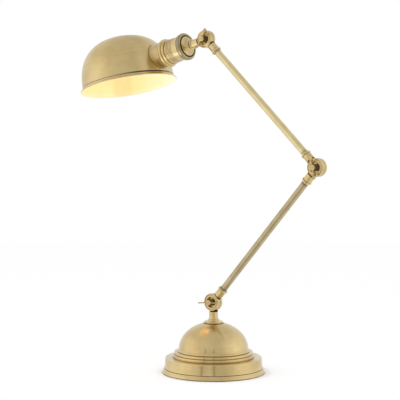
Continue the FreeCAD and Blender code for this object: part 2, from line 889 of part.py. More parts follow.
def base_nodes():
    return {
        "base_shell": make_base_shell(),
        "base_ballast": make_ballast(),
        "base_plate": make_plate(),
        "base_screws": make_screws(),
        "felt_pad": make_felt(),
        "cord_bushing": make_entry_bushing(),
        "base_flex": make_base_flex(),
        "swivel_plate": make_swivel_plate(),
        "swivel_stop_pin": make_stop_pin(),
    }


def neck_nodes():
    return {
        "swivel_ring": make_swivel_ring(),
        "neck_nipple": make_nipple(),
        "neck_washer": make_washer(),
        "neck_lock_nut": make_lock_nut(),
        "neck_post": posed(make_neck(), base_pivot, -90),
        "base_friction_washer": posed(make_friction_washer(), base_pivot, 0),
        "base_thumb_screw": posed(make_thumb_screw(thumb_angles_deg[0]), base_pivot, 0),
    }


def arm_nodes(name, pivot, degrees):
    far = pivot + direction(degrees) * arm_length
    return {
        name + "_bottom_knuckle": posed(knuckle_with_collar(1), pivot, degrees),
        name + "_tube": posed(make_arm_tube(), pivot, degrees),
        name + "_top_knuckle": posed(knuckle_with_collar(-1), far, degrees + 180),
        name + "_flex": posed(make_arm_flex(-1 if degrees < 90 else 1), pivot, degrees),
        name + "_spring_washer": posed(make_spring_washer(), pivot, 0),
    }


def elbow_nodes():
    return {
        "elbow_friction_washer": posed(make_friction_washer(), elbow_pivot, 0),
        "elbow_thumb_screw": posed(make_thumb_screw(thumb_angles_deg[1]), elbow_pivot, 0),
        "head_friction_washer": posed(make_friction_washer(), head_pivot, 0),
        "head_thumb_screw": posed(make_thumb_screw(thumb_angles_deg[2]), head_pivot, 0),
    }


def head_nodes():
    along = {
        "head_nipple": make_holder_nipple(),
        "holder_end_cap": make_end_cap(),
        "holder_cap_ring": make_cap_ring(),
        "holder_sleeve": make_sleeve(),
        "shade_ring": make_shade_ring(),
        "holder_insert": make_insert(),
        "thread_shell": make_thread_shell(),
        "centre_contact": make_centre_contact(),
        "terminal_screws": Part.makeCompound(make_terminals()),
        "bulb_cap": make_bulb_cap(),
        "bulb_glass": make_bulb_glass(),
    }
    nodes = {name: along_x(shape) for name, shape in along.items()}
    nodes["head_knuckle"] = knuckle_with_collar(1, head_collar_end, head_collar_lip)
    nodes["head_spring_washer"] = make_spring_washer()
    nodes["fitter_collar"] = make_fitter()
    nodes["shade"] = make_shade()
    nodes["shade_liner"] = make_liner()
    return {name: posed(shape, head_pivot, head_deg) for name, shape in nodes.items()}


def build():
    nodes = base_nodes()
    nodes.update(neck_nodes())
    nodes.update(arm_nodes("lower_arm", base_pivot, lower_arm_deg))
    nodes.update(arm_nodes("upper_arm", elbow_pivot, upper_arm_deg))
    nodes.update(elbow_nodes())
    nodes.update(head_nodes())
    return nodes


os.makedirs("parts", exist_ok=True)
for name, shape in build().items():
    if isinstance(shape, list):
        shape = Part.makeCompound(shape)
    sound = all(solid.isValid() and solid.Volume > 0 for solid in shape.Solids)
    print(name, len(shape.Solids), "solid", round(shape.Volume, 1), "mm3", "sound" if sound else "NOT SOUND")
    shape.exportStep(os.path.join("parts", name + ".step"))
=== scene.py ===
import bmesh
import bpy
import json
import math
from mathutils import Matrix, Vector

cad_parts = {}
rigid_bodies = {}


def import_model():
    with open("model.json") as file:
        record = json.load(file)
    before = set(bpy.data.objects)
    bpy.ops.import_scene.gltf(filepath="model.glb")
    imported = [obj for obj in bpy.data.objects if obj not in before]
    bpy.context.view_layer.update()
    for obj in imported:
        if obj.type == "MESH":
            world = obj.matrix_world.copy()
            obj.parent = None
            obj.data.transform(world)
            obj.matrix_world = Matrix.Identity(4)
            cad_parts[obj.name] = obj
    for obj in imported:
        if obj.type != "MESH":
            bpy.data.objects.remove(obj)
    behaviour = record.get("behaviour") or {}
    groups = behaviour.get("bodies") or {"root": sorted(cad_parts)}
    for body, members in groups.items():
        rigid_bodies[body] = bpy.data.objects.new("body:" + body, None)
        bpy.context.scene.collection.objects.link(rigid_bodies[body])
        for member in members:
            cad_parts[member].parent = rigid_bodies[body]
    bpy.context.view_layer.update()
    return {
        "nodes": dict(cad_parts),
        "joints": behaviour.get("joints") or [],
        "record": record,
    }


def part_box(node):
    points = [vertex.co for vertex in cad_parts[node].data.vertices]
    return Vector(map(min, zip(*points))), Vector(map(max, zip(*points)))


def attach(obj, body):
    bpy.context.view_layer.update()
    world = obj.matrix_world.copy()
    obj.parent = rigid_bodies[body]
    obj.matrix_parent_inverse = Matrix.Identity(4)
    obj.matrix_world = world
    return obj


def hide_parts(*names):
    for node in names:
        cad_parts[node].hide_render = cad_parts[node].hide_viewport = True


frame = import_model()        # bodies, nodes, joints and record, in metres

mm = 0.001
halfTurn, quarterTurn = math.pi, math.pi / 2
pivots = {joint["name"]: Vector(joint["pos_m"]) for joint in frame["joints"]}
basePivot, elbowPivot, headPivot = (pivots[name + "_knuckle"] for name in ("base", "elbow", "head"))


def middleOf(node):
    low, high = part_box(node)
    return (Vector(low) + Vector(high)) / 2


def pick(values, names):       # several values of a dictionary at once
    return [values[name] for name in names.split()]


lowerWay = (elbowPivot - basePivot).normalized()
upperWay = (headPivot - elbowPivot).normalized()
headWay = (middleOf("head_nipple") - headPivot).normalized()


# Places: an arm's own frame has X along the arm and -Y towards the thumb screw
def armPlace(pivot, way):
    side = Vector((0, 1, 0))
    up = way.cross(side)
    turn = Matrix((way, side, up)).transposed()
    return Matrix.Translation(pivot) @ turn.to_4x4()


def alongX(place):       # a turned part's own Z laid along the arm
    return place @ Matrix.Rotation(quarterTurn, 4, "Y")


def towardsFront(place):       # a turned part's own Z laid towards the thumb screw
    return place @ Matrix.Rotation(quarterTurn, 4, "X")


upright = Matrix.Identity(4)
neckPlace = armPlace(basePivot, Vector((0, 0, -1)))
lowerPlace = armPlace(basePivot, lowerWay)
lowerEndPlace = armPlace(elbowPivot, -lowerWay)
upperPlace = armPlace(elbowPivot, upperWay)
upperEndPlace = armPlace(headPivot, -upperWay)
headPlace = armPlace(headPivot, headWay)


# Outlines of turned parts, in mm as (radius, height). A step is a line (r, z),
# an arc through a point (r, z, r, z) or a list of points on a curve.
fineness = {
    "flatBend": 1e-9, "arcSteps": 4, "arcTurn": 0.3, "cornerShare": 0.3, "weld": 1e-7,
    "sharpDegrees": 35,
}


def arcPoints(start, middle, end, spacing):
    a, b, c = start, middle, end
    double = 2 * (a.x * (b.y - c.y) + b.x * (c.y - a.y) + c.x * (a.y - b.y))
    if abs(double) < fineness["flatBend"]:
        return linePoints(start, end, spacing)
    centreX = (a.dot(a) * (b.y - c.y) + b.dot(b) * (c.y - a.y) + c.dot(c) * (a.y - b.y)) / double
    centreY = (a.dot(a) * (c.x - b.x) + b.dot(b) * (a.x - c.x) + c.dot(c) * (b.x - a.x)) / double
    centre = Vector((centreX, centreY))
    radius = (start - centre).length
    first = math.atan2(start.y - centre.y, start.x - centre.x)
    turn = math.atan2(end.y - centre.y, end.x - centre.x) - first
    leftwards = (b - a).cross(c - b) > 0
    if leftwards and turn < 0:
        turn += 2 * halfTurn
    if not leftwards and turn > 0:
        turn -= 2 * halfTurn
    count = max(fineness["arcSteps"], math.ceil(abs(turn) * radius / spacing),
                math.ceil(abs(turn) / fineness["arcTurn"]))
    points = []
    for step in range(1, count + 1):
        angle = first + turn * step / count
        points.append(centre + radius * Vector((math.cos(angle), math.sin(angle))))
    return points


def linePoints(start, end, spacing):
    count = max(1, math.ceil((end - start).length / spacing))
    return [start.lerp(end, step / count) for step in range(1, count + 1)]


def outlinePoints(steps, spacing):
    points = [Vector(steps[0])]
    for step in steps[1:]:
        if isinstance(step, list):
            points += [Vector(point) for point in step]
        elif len(step) == 4:
            points += arcPoints(points[-1], Vector(step[:2]), Vector(step[2:]), spacing)
        else:
            points += linePoints(points[-1], Vector(step), spacing)
    if points[0].x > 0:
        points += linePoints(points[-1], points[0], spacing)[:-1]
    return points


def pipeSteps(inner, outer, low, high):
    return [(inner, low), (outer, low), (outer, high), (inner, high)]


# A rounded corner in two steps. Its two sides lead from the corner to where the rounding starts
# and ends, and off is how far its middle stands from the corner along both.
sideWays = {"in": (-1, 0), "down": (0, -1), "up": (0, 1)}


def rounded(radius, height, size, before, after, off=None):
    (beforeR, beforeZ), (afterR, afterZ) = sideWays[before], sideWays[after]
    off = fineness["cornerShare"] * size if off is None else off
    return [
        (radius + size * beforeR, height + size * beforeZ),
        (radius + off * (beforeR + afterR), height + off * (beforeZ + afterZ),
         radius + size * afterR, height + size * afterZ)]


# Darker along the grooves of an outline, for grime and painted shade, and lighter along its ridges,
# for wear and a painted highlight: spread along it and kept on the points as two attributes
ageAndShading = {"groove": 0.55, "ridge": 0.6, "sharpTurn": 70.0, "slightTurn": 14.0}


def spreadMarks(points):
    count = len(points)
    closed = points[0].x > 0
    runs = [0.0]
    for here, there in zip(points, points[1:]):
        runs.append(runs[-1] + (there - here).length)
    corners = []
    for index in range(count):
        if not closed and index in (0, count - 1):
            continue
        before, here, after = points[index - 1], points[index], points[(index + 1) % count]
        back, onward = here - before, after - here
        turn = math.degrees(math.atan2(back.cross(onward), back.dot(onward)))
        if abs(turn) > ageAndShading["slightTurn"]:
            corners.append((runs[index], turn / ageAndShading["sharpTurn"]))

    def spread(run, side, width):       # side is -1 for grooves and 1 for ridges
        marks = [side * turn * math.exp(-((run - at) / width) ** 2)
                 for at, turn in corners if side * turn > 0]
        return min(1.0, sum(marks))

    soil = [spread(run, -1, ageAndShading["groove"]) for run in runs]
    wear = [spread(run, 1, ageAndShading["ridge"]) for run in runs]
    return runs, soil, wear


def newShape():
    shape = bmesh.new()
    for name in ("soil", "wear", "lathe"):
        shape.verts.layers.float.new(name)
    shape.verts.layers.float_vector.new("brush")
    return shape


def freshVerts(shape, kept):
    return [vert for vert in shape.verts if vert not in kept]


def faceOutwards(shape, verts):
    faces = {face for vert in verts for face in vert.link_faces}
    bmesh.ops.recalc_face_normals(shape, faces=list(faces))


# The way that the lathe's brush lines run at a point
def brushWay(place, point):
    axis = place.to_3x3() @ Vector((0, 0, 1))
    return axis.cross(point - place.translation).normalized()


def brushVerts(shape, place, verts):
    brush = shape.verts.layers.float_vector["brush"]
    for vert in verts:
        vert[brush] = brushWay(place, vert.co)


# A mark (r, z, r, z, darkness) sets how dark that area of the outline is; marks serve for dark
# joints, painted shadows and clean areas alike
beyond = 99       # the far side of a mark that ends with its piece


def movedStainAndShadow(stainAndShadow, radius, height):
    lowR, lowZ, highR, highZ, soil = stainAndShadow
    return lowR + radius, lowZ + height, highR + radius, highZ + height, soil


# a piece's grooves can be made darker or lighter as a whole, grime and painted shade together
def addTurned(shape, steps, place, spacing, segments, dirt=1.0, stainsAndShadows=()):
    layers = [shape.verts.layers.float[name] for name in ("lathe", "soil", "wear")]
    kept = set(shape.verts)
    points = outlinePoints(steps, spacing)
    marks = spreadMarks(points)
    for index, point in enumerate(points):
        marks[1][index] *= dirt
        for lowR, lowZ, highR, highZ, soil in stainsAndShadows:
            if lowR <= point.x <= highR and lowZ <= point.y <= highZ:
                marks[1][index] = soil
    wire = []
    for index, point in enumerate(points):
        vert = shape.verts.new((point.x * mm, 0, point.y * mm))
        for layer, values in zip(layers, marks):
            vert[layer] = values[index]
        wire.append(vert)
    lines = [shape.edges.new(pair) for pair in zip(wire, wire[1:])]
    if points[0].x > 0:
        lines.append(shape.edges.new((wire[-1], wire[0])))
    bmesh.ops.spin(shape, geom=wire + lines, cent=(0, 0, 0), axis=(0, 0, 1), dvec=(0, 0, 0),
                   angle=2 * halfTurn, steps=segments, use_merge=True, use_duplicate=False)
    bmesh.ops.remove_doubles(shape, verts=freshVerts(shape, kept), dist=fineness["weld"])
    fresh = freshVerts(shape, kept)
    faceOutwards(shape, fresh)
    bmesh.ops.transform(shape, matrix=place, verts=fresh)
    brushVerts(shape, place, fresh)


def objectFrom(shape, name):
    mesh = bpy.data.meshes.new(name)
    shape.to_mesh(mesh)
    shape.free()
    made = bpy.data.objects.new(name, mesh)
    bpy.context.scene.collection.objects.link(made)
    return made


def finishPiece(shape, name, body, slot, node):
    piece = objectFrom(shape, name)
    piece.data.shade_smooth()
    piece.data.set_sharp_from_angle(angle=math.radians(fineness["sharpDegrees"]))
    piece.data.materials.append(finishes[slot])
    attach(piece, body)
    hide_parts(node)
    return piece


def cutAway(piece, tool, place):       # takes the tool's room out of a piece turned at this place
    cut = piece.modifiers.new("cut", "BOOLEAN")
    cut.operation = "DIFFERENCE"
    cut.solver = "EXACT"
    cut.object = tool
    graph = bpy.context.evaluated_depsgraph_get()
    mesh = bpy.data.meshes.new_from_object(piece.evaluated_get(graph))
    piece.modifiers.clear()
    old = piece.data
    piece.data = mesh
    bpy.data.meshes.remove(old)
    mesh.set_sharp_from_angle(angle=math.radians(fineness["sharpDegrees"]))
    brush = mesh.attributes["brush"].data
    for vert in mesh.vertices:
        brush[vert.index].vector = brushWay(place, vert.co)
    bpy.data.objects.remove(tool)


# Materials
def addNode(tree, kind, inputs=None, **settings):
    made = tree.nodes.new(kind)
    for key, value in settings.items():
        setattr(made, key, value)
    for key, value in (inputs or {}).items():
        socket = made.inputs[key]
        if isinstance(value, bpy.types.NodeSocket):
            tree.links.new(value, socket)
        else:
            socket.default_value = value
    return made


def maths(tree, operation, *values):
    made = addNode(tree, "ShaderNodeMath", dict(enumerate(values)), operation=operation)
    return made.outputs[0]


def times(tree, value, amount):
    return maths(tree, "MULTIPLY", value, amount)


def plus(tree, value, other):
    return maths(tree, "ADD", value, other)


def vectorMaths(tree, operation, *values):
    made = addNode(tree, "ShaderNodeVectorMath", dict(enumerate(values)), operation=operation)
    return made.outputs["Value" if operation in ("DOT_PRODUCT", "LENGTH") else "Vector"]


def mixColours(tree, factor, first, second):
    made = addNode(tree, "ShaderNodeMix", {0: factor, 6: first, 7: second}, data_type="RGBA")
    return made.outputs[2]


def rescaled(tree, value, low, high, newLow=0.0, newHigh=1.0):
    inputs = {0: value, 1: low, 2: high, 3: newLow, 4: newHigh}
    return addNode(tree, "ShaderNodeMapRange", inputs).outputs[0]


def noise(tree, where, scale, detail=3.0, roughness=0.55):
    inputs = {"Vector": where, "Scale": scale, "Detail": detail, "Roughness": roughness}
    return addNode(tree, "ShaderNodeTexNoise", inputs).outputs[0]


def bumpFrom(tree, height, strength, distance=0.0002):
    inputs = {"Height": height, "Strength": strength, "Distance": distance}
    return addNode(tree, "ShaderNodeBump", inputs).outputs[0]


def startMaterial(name, shaderInputs):
    material = bpy.data.materials.new(name)
    material.use_nodes = True
    tree = material.node_tree
    shader = tree.nodes["Principled BSDF"]
    for key, value in shaderInputs.items():
        shader.inputs[key].default_value = value
    where = addNode(tree, "ShaderNodeTexCoord").outputs["Object"]
    return material, tree, shader, where


def connect(tree, shader, wires):
    for key, value in wires.items():
        tree.links.new(value, shader.inputs[key])


# Parts of a noise's range: nearly all of it, and the middle where most of it lies
noiseWhole, noiseMiddle = (0.3, 0.7), (0.35, 0.65)

# Antique brass: the soft highlight is drawn out across its lathe lines
brassLook = {
    "pale": (0.845, 0.650, 0.315, 1), "deep": (0.690, 0.510, 0.215, 1),
    # the dark colour is for grime and painted shade, the bright one for wear and painted highlights
    "bright": (0.930, 0.790, 0.490, 1), "soil": (0.030, 0.028, 0.020, 1),
    "grimeAndShadeDepth": 0.95, "wearAndHighlightDepth": 0.45, "grimeAndShadeRough": 0.4,
    "cloudScale": 26.0, "cloudDetail": (5.0, 0.6), "cloudRange": (0.36, 0.64),
    "speckScale": 700.0, "speckDetail": 2.0, "speckHeight": 0.12,
    "broadScale": 0.22, "broadShare": 0.6, "fineScale": 1.1, "fineShare": 0.4, "lineDetail": 4.0,
    "lineRange": (0.38, 0.62), "lineDepth": 0.60, "lineHeight": 0.6,
    "fadeScale": 0.6, "fade": (0.4, 0.6, 0.25, 1.0),
    "rough": 0.27, "roughSpread": 0.08, "bump": 0.08, "anisotropy": 0.8, "brushTurn": 0.25,
    "coat": 0.6, "coatRough": 0.2,
}
smallLook = {
    "cloudScale": 45.0, "lineDepth": 0.25, "rough": 0.21, "roughSpread": 0.06, "bump": 0.03,
    "anisotropy": 0.3,
}


def brassFinish(name, mark=None, **changes):
    look = dict(brassLook, **changes)
    material, tree, shader, where = startMaterial(name, {
        "Metallic": 1.0, "Anisotropic": look["anisotropy"],
        "Anisotropic Rotation": look["brushTurn"],
        "Coat Weight": look["coat"], "Coat Roughness": look["coatRough"]})
    soil, wear, lathe = (
        addNode(tree, "ShaderNodeAttribute", attribute_name=layer).outputs["Fac"]
        for layer in ("soil", "wear", "lathe"))
    brush = addNode(tree, "ShaderNodeAttribute", attribute_name="brush").outputs["Vector"]
    along = addNode(tree, "ShaderNodeVectorTransform", {0: brush}, vector_type="VECTOR",
                    convert_from="OBJECT", convert_to="WORLD").outputs[0]
    if mark:
        soil = maths(tree, "MAXIMUM", soil, mark(tree, where))
    cloud = noise(tree, where, look["cloudScale"], *look["cloudDetail"])
    speck = noise(tree, where, look["speckScale"], look["speckDetail"])
    broad, fine = (
        addNode(tree, "ShaderNodeTexNoise",
                {"W": lathe, "Scale": scale, "Detail": look["lineDetail"]},
                noise_dimensions="1D").outputs[0]
        for scale in (look["broadScale"], look["fineScale"]))
    line = plus(tree, times(tree, broad, look["broadShare"]), times(tree, fine, look["fineShare"]))
    fading = noise(tree, where, look["cloudScale"] * look["fadeScale"])
    lines = rescaled(tree, line, *look["lineRange"], 0.0, look["lineDepth"])
    lines = times(tree, lines, rescaled(tree, fading, *look["fade"]))
    patches = rescaled(tree, cloud, *look["cloudRange"])
    tone = mixColours(tree, patches, look["pale"], look["deep"])
    tone = mixColours(tree, lines, tone, look["deep"])
    # lighter on ridges with wear and a painted highlight, darker with grime and painted shade in
    # grooves, gaps and slots
    tone = mixColours(tree, times(tree, wear, look["wearAndHighlightDepth"]), tone, look["bright"])
    tone = mixColours(tree, times(tree, soil, look["grimeAndShadeDepth"]), tone, look["soil"])
    roughest = look["rough"] + look["roughSpread"]
    rough = rescaled(tree, cloud, *noiseWhole, look["rough"], roughest)
    height = plus(tree, times(tree, line, look["lineHeight"]),
                  times(tree, speck, look["speckHeight"]))
    connect(tree, shader, {
        "Tangent": along, "Base Color": tone,
        "Roughness": plus(tree, rough, times(tree, soil, look["grimeAndShadeRough"])),
        "Normal": bumpFrom(tree, height, look["bump"])})
    return material


# Marks on the shade, in metres: a dark seam round the fitter pipe by its distance from the holder's
# axis, grime and painted shade, and a painted shadow in the rim groove, dark from rimStart to
# rimWane towards the camera's right
lampshadeDirtAndShadow = {
    "seamFull": 0.0230, "seamEnd": 0.0238, "seamReach": 0.150, "drop": 0.0349, "rim": 0.0072,
    "rimHalf": 0.0010, "rimFade": 0.0008, "rimStart": (-0.165, -0.115),
    "rimWane": (-0.085, -0.055, 1.0, 0.3),
}
rightWay = Vector((0.788, 0.616, 0))


def shadeMark(tree, where):
    dirt = lampshadeDirtAndShadow
    away = vectorMaths(tree, "SUBTRACT", where, headPivot)
    radius = vectorMaths(tree, "LENGTH", vectorMaths(tree, "CROSS_PRODUCT", away, headWay))
    ahead = vectorMaths(tree, "DOT_PRODUCT", away, headWay)
    near = maths(tree, "LESS_THAN", ahead, dirt["seamReach"])
    seam = times(tree, rescaled(tree, radius, dirt["seamFull"], dirt["seamEnd"], 1.0, 0.0), near)
    # the rim groove's painted shadow, on the side under the holder
    down = vectorMaths(tree, "DOT_PRODUCT", away, headWay.cross(Vector((0, 1, 0))))
    offRim = maths(tree, "ABSOLUTE", plus(tree, down, dirt["rim"] - dirt["drop"]))
    rimEdge = dirt["rimHalf"] + dirt["rimFade"]
    groove = rescaled(tree, offRim, dirt["rimHalf"], rimEdge, 1.0, 0.0)
    across = vectorMaths(tree, "DOT_PRODUCT", away, rightWay)
    for ends in (dirt["rimStart"], dirt["rimWane"]):
        groove = times(tree, groove, rescaled(tree, across, *ends))
    return maths(tree, "MAXIMUM", seam, groove)


def plainFinish(name, colour, deep, scale, metallic, rough, spread=0.12, bump=0.1, depth=0.0002):
    material, tree, shader, where = startMaterial(name, {"Metallic": metallic})
    grain = noise(tree, where, scale, detail=4.0, roughness=0.6)
    toned = rescaled(tree, grain, *noiseMiddle)
    connect(tree, shader, {
        "Base Color": mixColours(tree, toned, colour + (1,), deep + (1,)),
        "Roughness": rescaled(tree, grain, *noiseWhole, rough, rough + spread),
        "Normal": bumpFrom(tree, grain, bump, depth)})
    return material


# Colours of the painted bulb light that the inside glows with, by place across the shade, in metres
# towards the camera's right, and of the enamel and the bulb themselves
glow = {
    "cream": (1.0, 0.72, 0.32, 1), "warm": (1.0, 0.47, 0.15, 1), "pale": (1.0, 0.96, 0.82, 1),
    "patch": -0.015, "patchHalf": 0.012, "patchFade": 0.012,
    "paleStart": 0.015, "paleEnd": 0.070, "strength": 0.39, "waver": 0.006,
    "enamel": (0.86, 0.67, 0.42, 1), "enamelDeep": (0.82, 0.61, 0.35, 1), "coat": 0.2,
    "coatRough": 0.2, "rough": (0.32, 0.45), "bump": 0.12,
    "cloudScale": 34.0, "cloudDetail": (4.0, 0.6), "speckScale": 520.0, "speckDetail": 2.0,
    "bulbColour": (1.0, 0.86, 0.62, 1), "bulbPale": (1.0, 0.90, 0.66, 1), "bulbStrength": 0.8,
    "bulbRough": 0.35, "bulbCoat": 0.3, "frostScale": 60.0,
}


# Cream enamel, lit by the bulb and glowing besides with painted bulb light, warm in a patch and
# paler to the right
def enamelFinish(name):
    material, tree, shader, where = startMaterial(name, {
        "Coat Weight": glow["coat"], "Coat Roughness": glow["coatRough"],
        "Emission Strength": glow["strength"]})
    away = vectorMaths(tree, "SUBTRACT", where, middleOf("shade_liner"))
    cloud = noise(tree, where, glow["cloudScale"], *glow["cloudDetail"])
    wavering = rescaled(tree, cloud, 0, 1, -glow["waver"], glow["waver"])
    across = plus(tree, vectorMaths(tree, "DOT_PRODUCT", away, rightWay), wavering)
    fromPatch = maths(tree, "ABSOLUTE", plus(tree, across, -glow["patch"]))
    patchEdge = glow["patchHalf"] + glow["patchFade"]
    patch = rescaled(tree, fromPatch, glow["patchHalf"], patchEdge, 1.0, 0.0)
    light = mixColours(tree, patch, glow["cream"], glow["warm"])
    paleness = rescaled(tree, across, glow["paleStart"], glow["paleEnd"])
    toned = rescaled(tree, cloud, *noiseMiddle)
    speck = noise(tree, where, glow["speckScale"], glow["speckDetail"])
    connect(tree, shader, {
        "Emission Color": mixColours(tree, paleness, light, glow["pale"]),
        "Base Color": mixColours(tree, toned, glow["enamel"], glow["enamelDeep"]),
        "Roughness": rescaled(tree, speck, *noiseWhole, *glow["rough"]),
        "Normal": bumpFrom(tree, speck, glow["bump"])})
    return material


def bulbFinish(name):
    material, tree, shader, where = startMaterial(name, {
        "Roughness": glow["bulbRough"], "Emission Strength": glow["bulbStrength"],
        "Coat Weight": glow["bulbCoat"]})
    frost = rescaled(tree, noise(tree, where, glow["frostScale"]), *noiseWhole)
    light = mixColours(tree, frost, glow["bulbColour"], glow["bulbPale"])
    connect(tree, shader, {"Emission Color": light, "Base Color": light})
    return material


def tinted(pale, deep):       # small turned parts in another tone
    return dict(smallLook, pale=pale + (1,), deep=deep + (1,))


brassKinds = {
    "base_brass": {"rough": 0.21},
    "turned_brass": smallLook,
    "thumb_brass": tinted((0.68, 0.52, 0.25), (0.50, 0.36, 0.15)),
    # the two tubes are one brass: the lower tube's darker copy is painted shade, the upper tube's
    # lighter copy painted light
    "lower_tube_brass": tinted((0.60, 0.485, 0.275), (0.46, 0.36, 0.185)),
    "upper_tube_brass": tinted((0.93, 0.78, 0.42), (0.80, 0.65, 0.32)),
    "holder_brass": smallLook,
    "cap_ring_brass": tinted((0.47, 0.385, 0.205), (0.33, 0.265, 0.125)),
    "shade_brass": {"mark": shadeMark, "cloudScale": 20.0},
}
# Colour, deeper colour, scale of the grain, metallic, roughness, its spread, bump and its depth
plainKinds = {
    "contact_brass": ((0.66, 0.52, 0.28), (0.52, 0.39, 0.18), 300.0, 1.0, 0.22),
    "ballast_iron": ((0.10, 0.10, 0.10), (0.05, 0.045, 0.04), 160.0, 0.6, 0.6),
    "plate_steel": ((0.035, 0.035, 0.035), (0.02, 0.02, 0.02), 500.0, 0.0, 0.45),
    # fixing steel is a dark brown that matches its shaded recess: painted shade
    "fixing_steel": ((0.24, 0.19, 0.11), (0.16, 0.12, 0.07), 300.0, 1.0, 0.4, 0.1, 0.02),
    "felt": ((0.045, 0.055, 0.04), (0.02, 0.025, 0.02), 900.0, 0.0, 0.85, 0.1, 0.6, 0.0006),
    "bushing_rubber": ((0.03, 0.03, 0.03), (0.018, 0.018, 0.018), 400.0, 0.0, 0.55),
    "flex_sheath": ((0.24, 0.17, 0.08), (0.16, 0.11, 0.05), 400.0, 0.0, 0.55),
    "fibre": ((0.06, 0.04, 0.03), (0.03, 0.02, 0.015), 500.0, 0.0, 0.7),
    "porcelain": ((0.88, 0.87, 0.84), (0.84, 0.82, 0.78), 90.0, 0.0, 0.15, 0.05),
    "bulb_aluminium": ((0.78, 0.78, 0.79), (0.66, 0.66, 0.67), 260.0, 1.0, 0.25),
}
finishes = {name: brassFinish(name, **look) for name, look in brassKinds.items()}
finishes.update({name: plainFinish(name, *values) for name, values in plainKinds.items()})
finishes["bulb_glass"] = bulbFinish("bulb_glass")
finishes["liner_enamel"] = enamelFinish("liner_enamel")
for part in frame["record"]["subparts"]:
    node = frame["nodes"][part["node"]]
    node.data.materials.clear()
    node.data.materials.append(finishes[part["material_slot"]])
print("materials:", len(finishes))


# Round foot: flange, drum, two stepped beads and a dome with a flat seat
foot = {
    "radius": 90.8, "wall": 1.6, "bottom": 0.8, "plateGap": 3.0, "plateBed": 3.6, "edge": 0.3,
    "flangeHeight": 7.3, "flangeSlope": 3.6, "flangeBulge": 0.3, "flangeWidth": 4.9,
    "flangeLip": (0.2, 0.25),
    "drumHeight": 18.2, "drumTaper": 1.2, "drumRounding": 1.2, "groove": 0.9, "grooveHeight": 0.6,
    "shoulder": 12.8, "shoulderRise": 0.2, "outerStep": (2.5, 5.2), "innerStep": (5.4, 4.35),
    "land": 0.4, "stepBulge": 0.5, "stepRounding": 0.75, "stepCurve": (0.15, 0.4, 0.3),
    "domeFoot": (2.6, 2.85), "domeFootBulge": 0.9, "domeFootSag": 0.2, "domeRise": 2.55,
    "domeHeight": 48.87,
    "domeStart": 5.0, "domeSteps": (60, 30), "seatRadius": 17.85, "bore": 5.05,
    "entry": (5.05, 70, 100), "entryMesh": (30, 48), "mesh": (1.1, 160), "dirt": 0.8,
    # painted shadows: dark at the seat under the swivel plate's edge and round the bottom of the
    # rim
    "seatShadow": (17.0, -0.8, 19.0, 0.1, 1), "rimShadow": (-1.6, -1, 1, 1.5, 1),
}


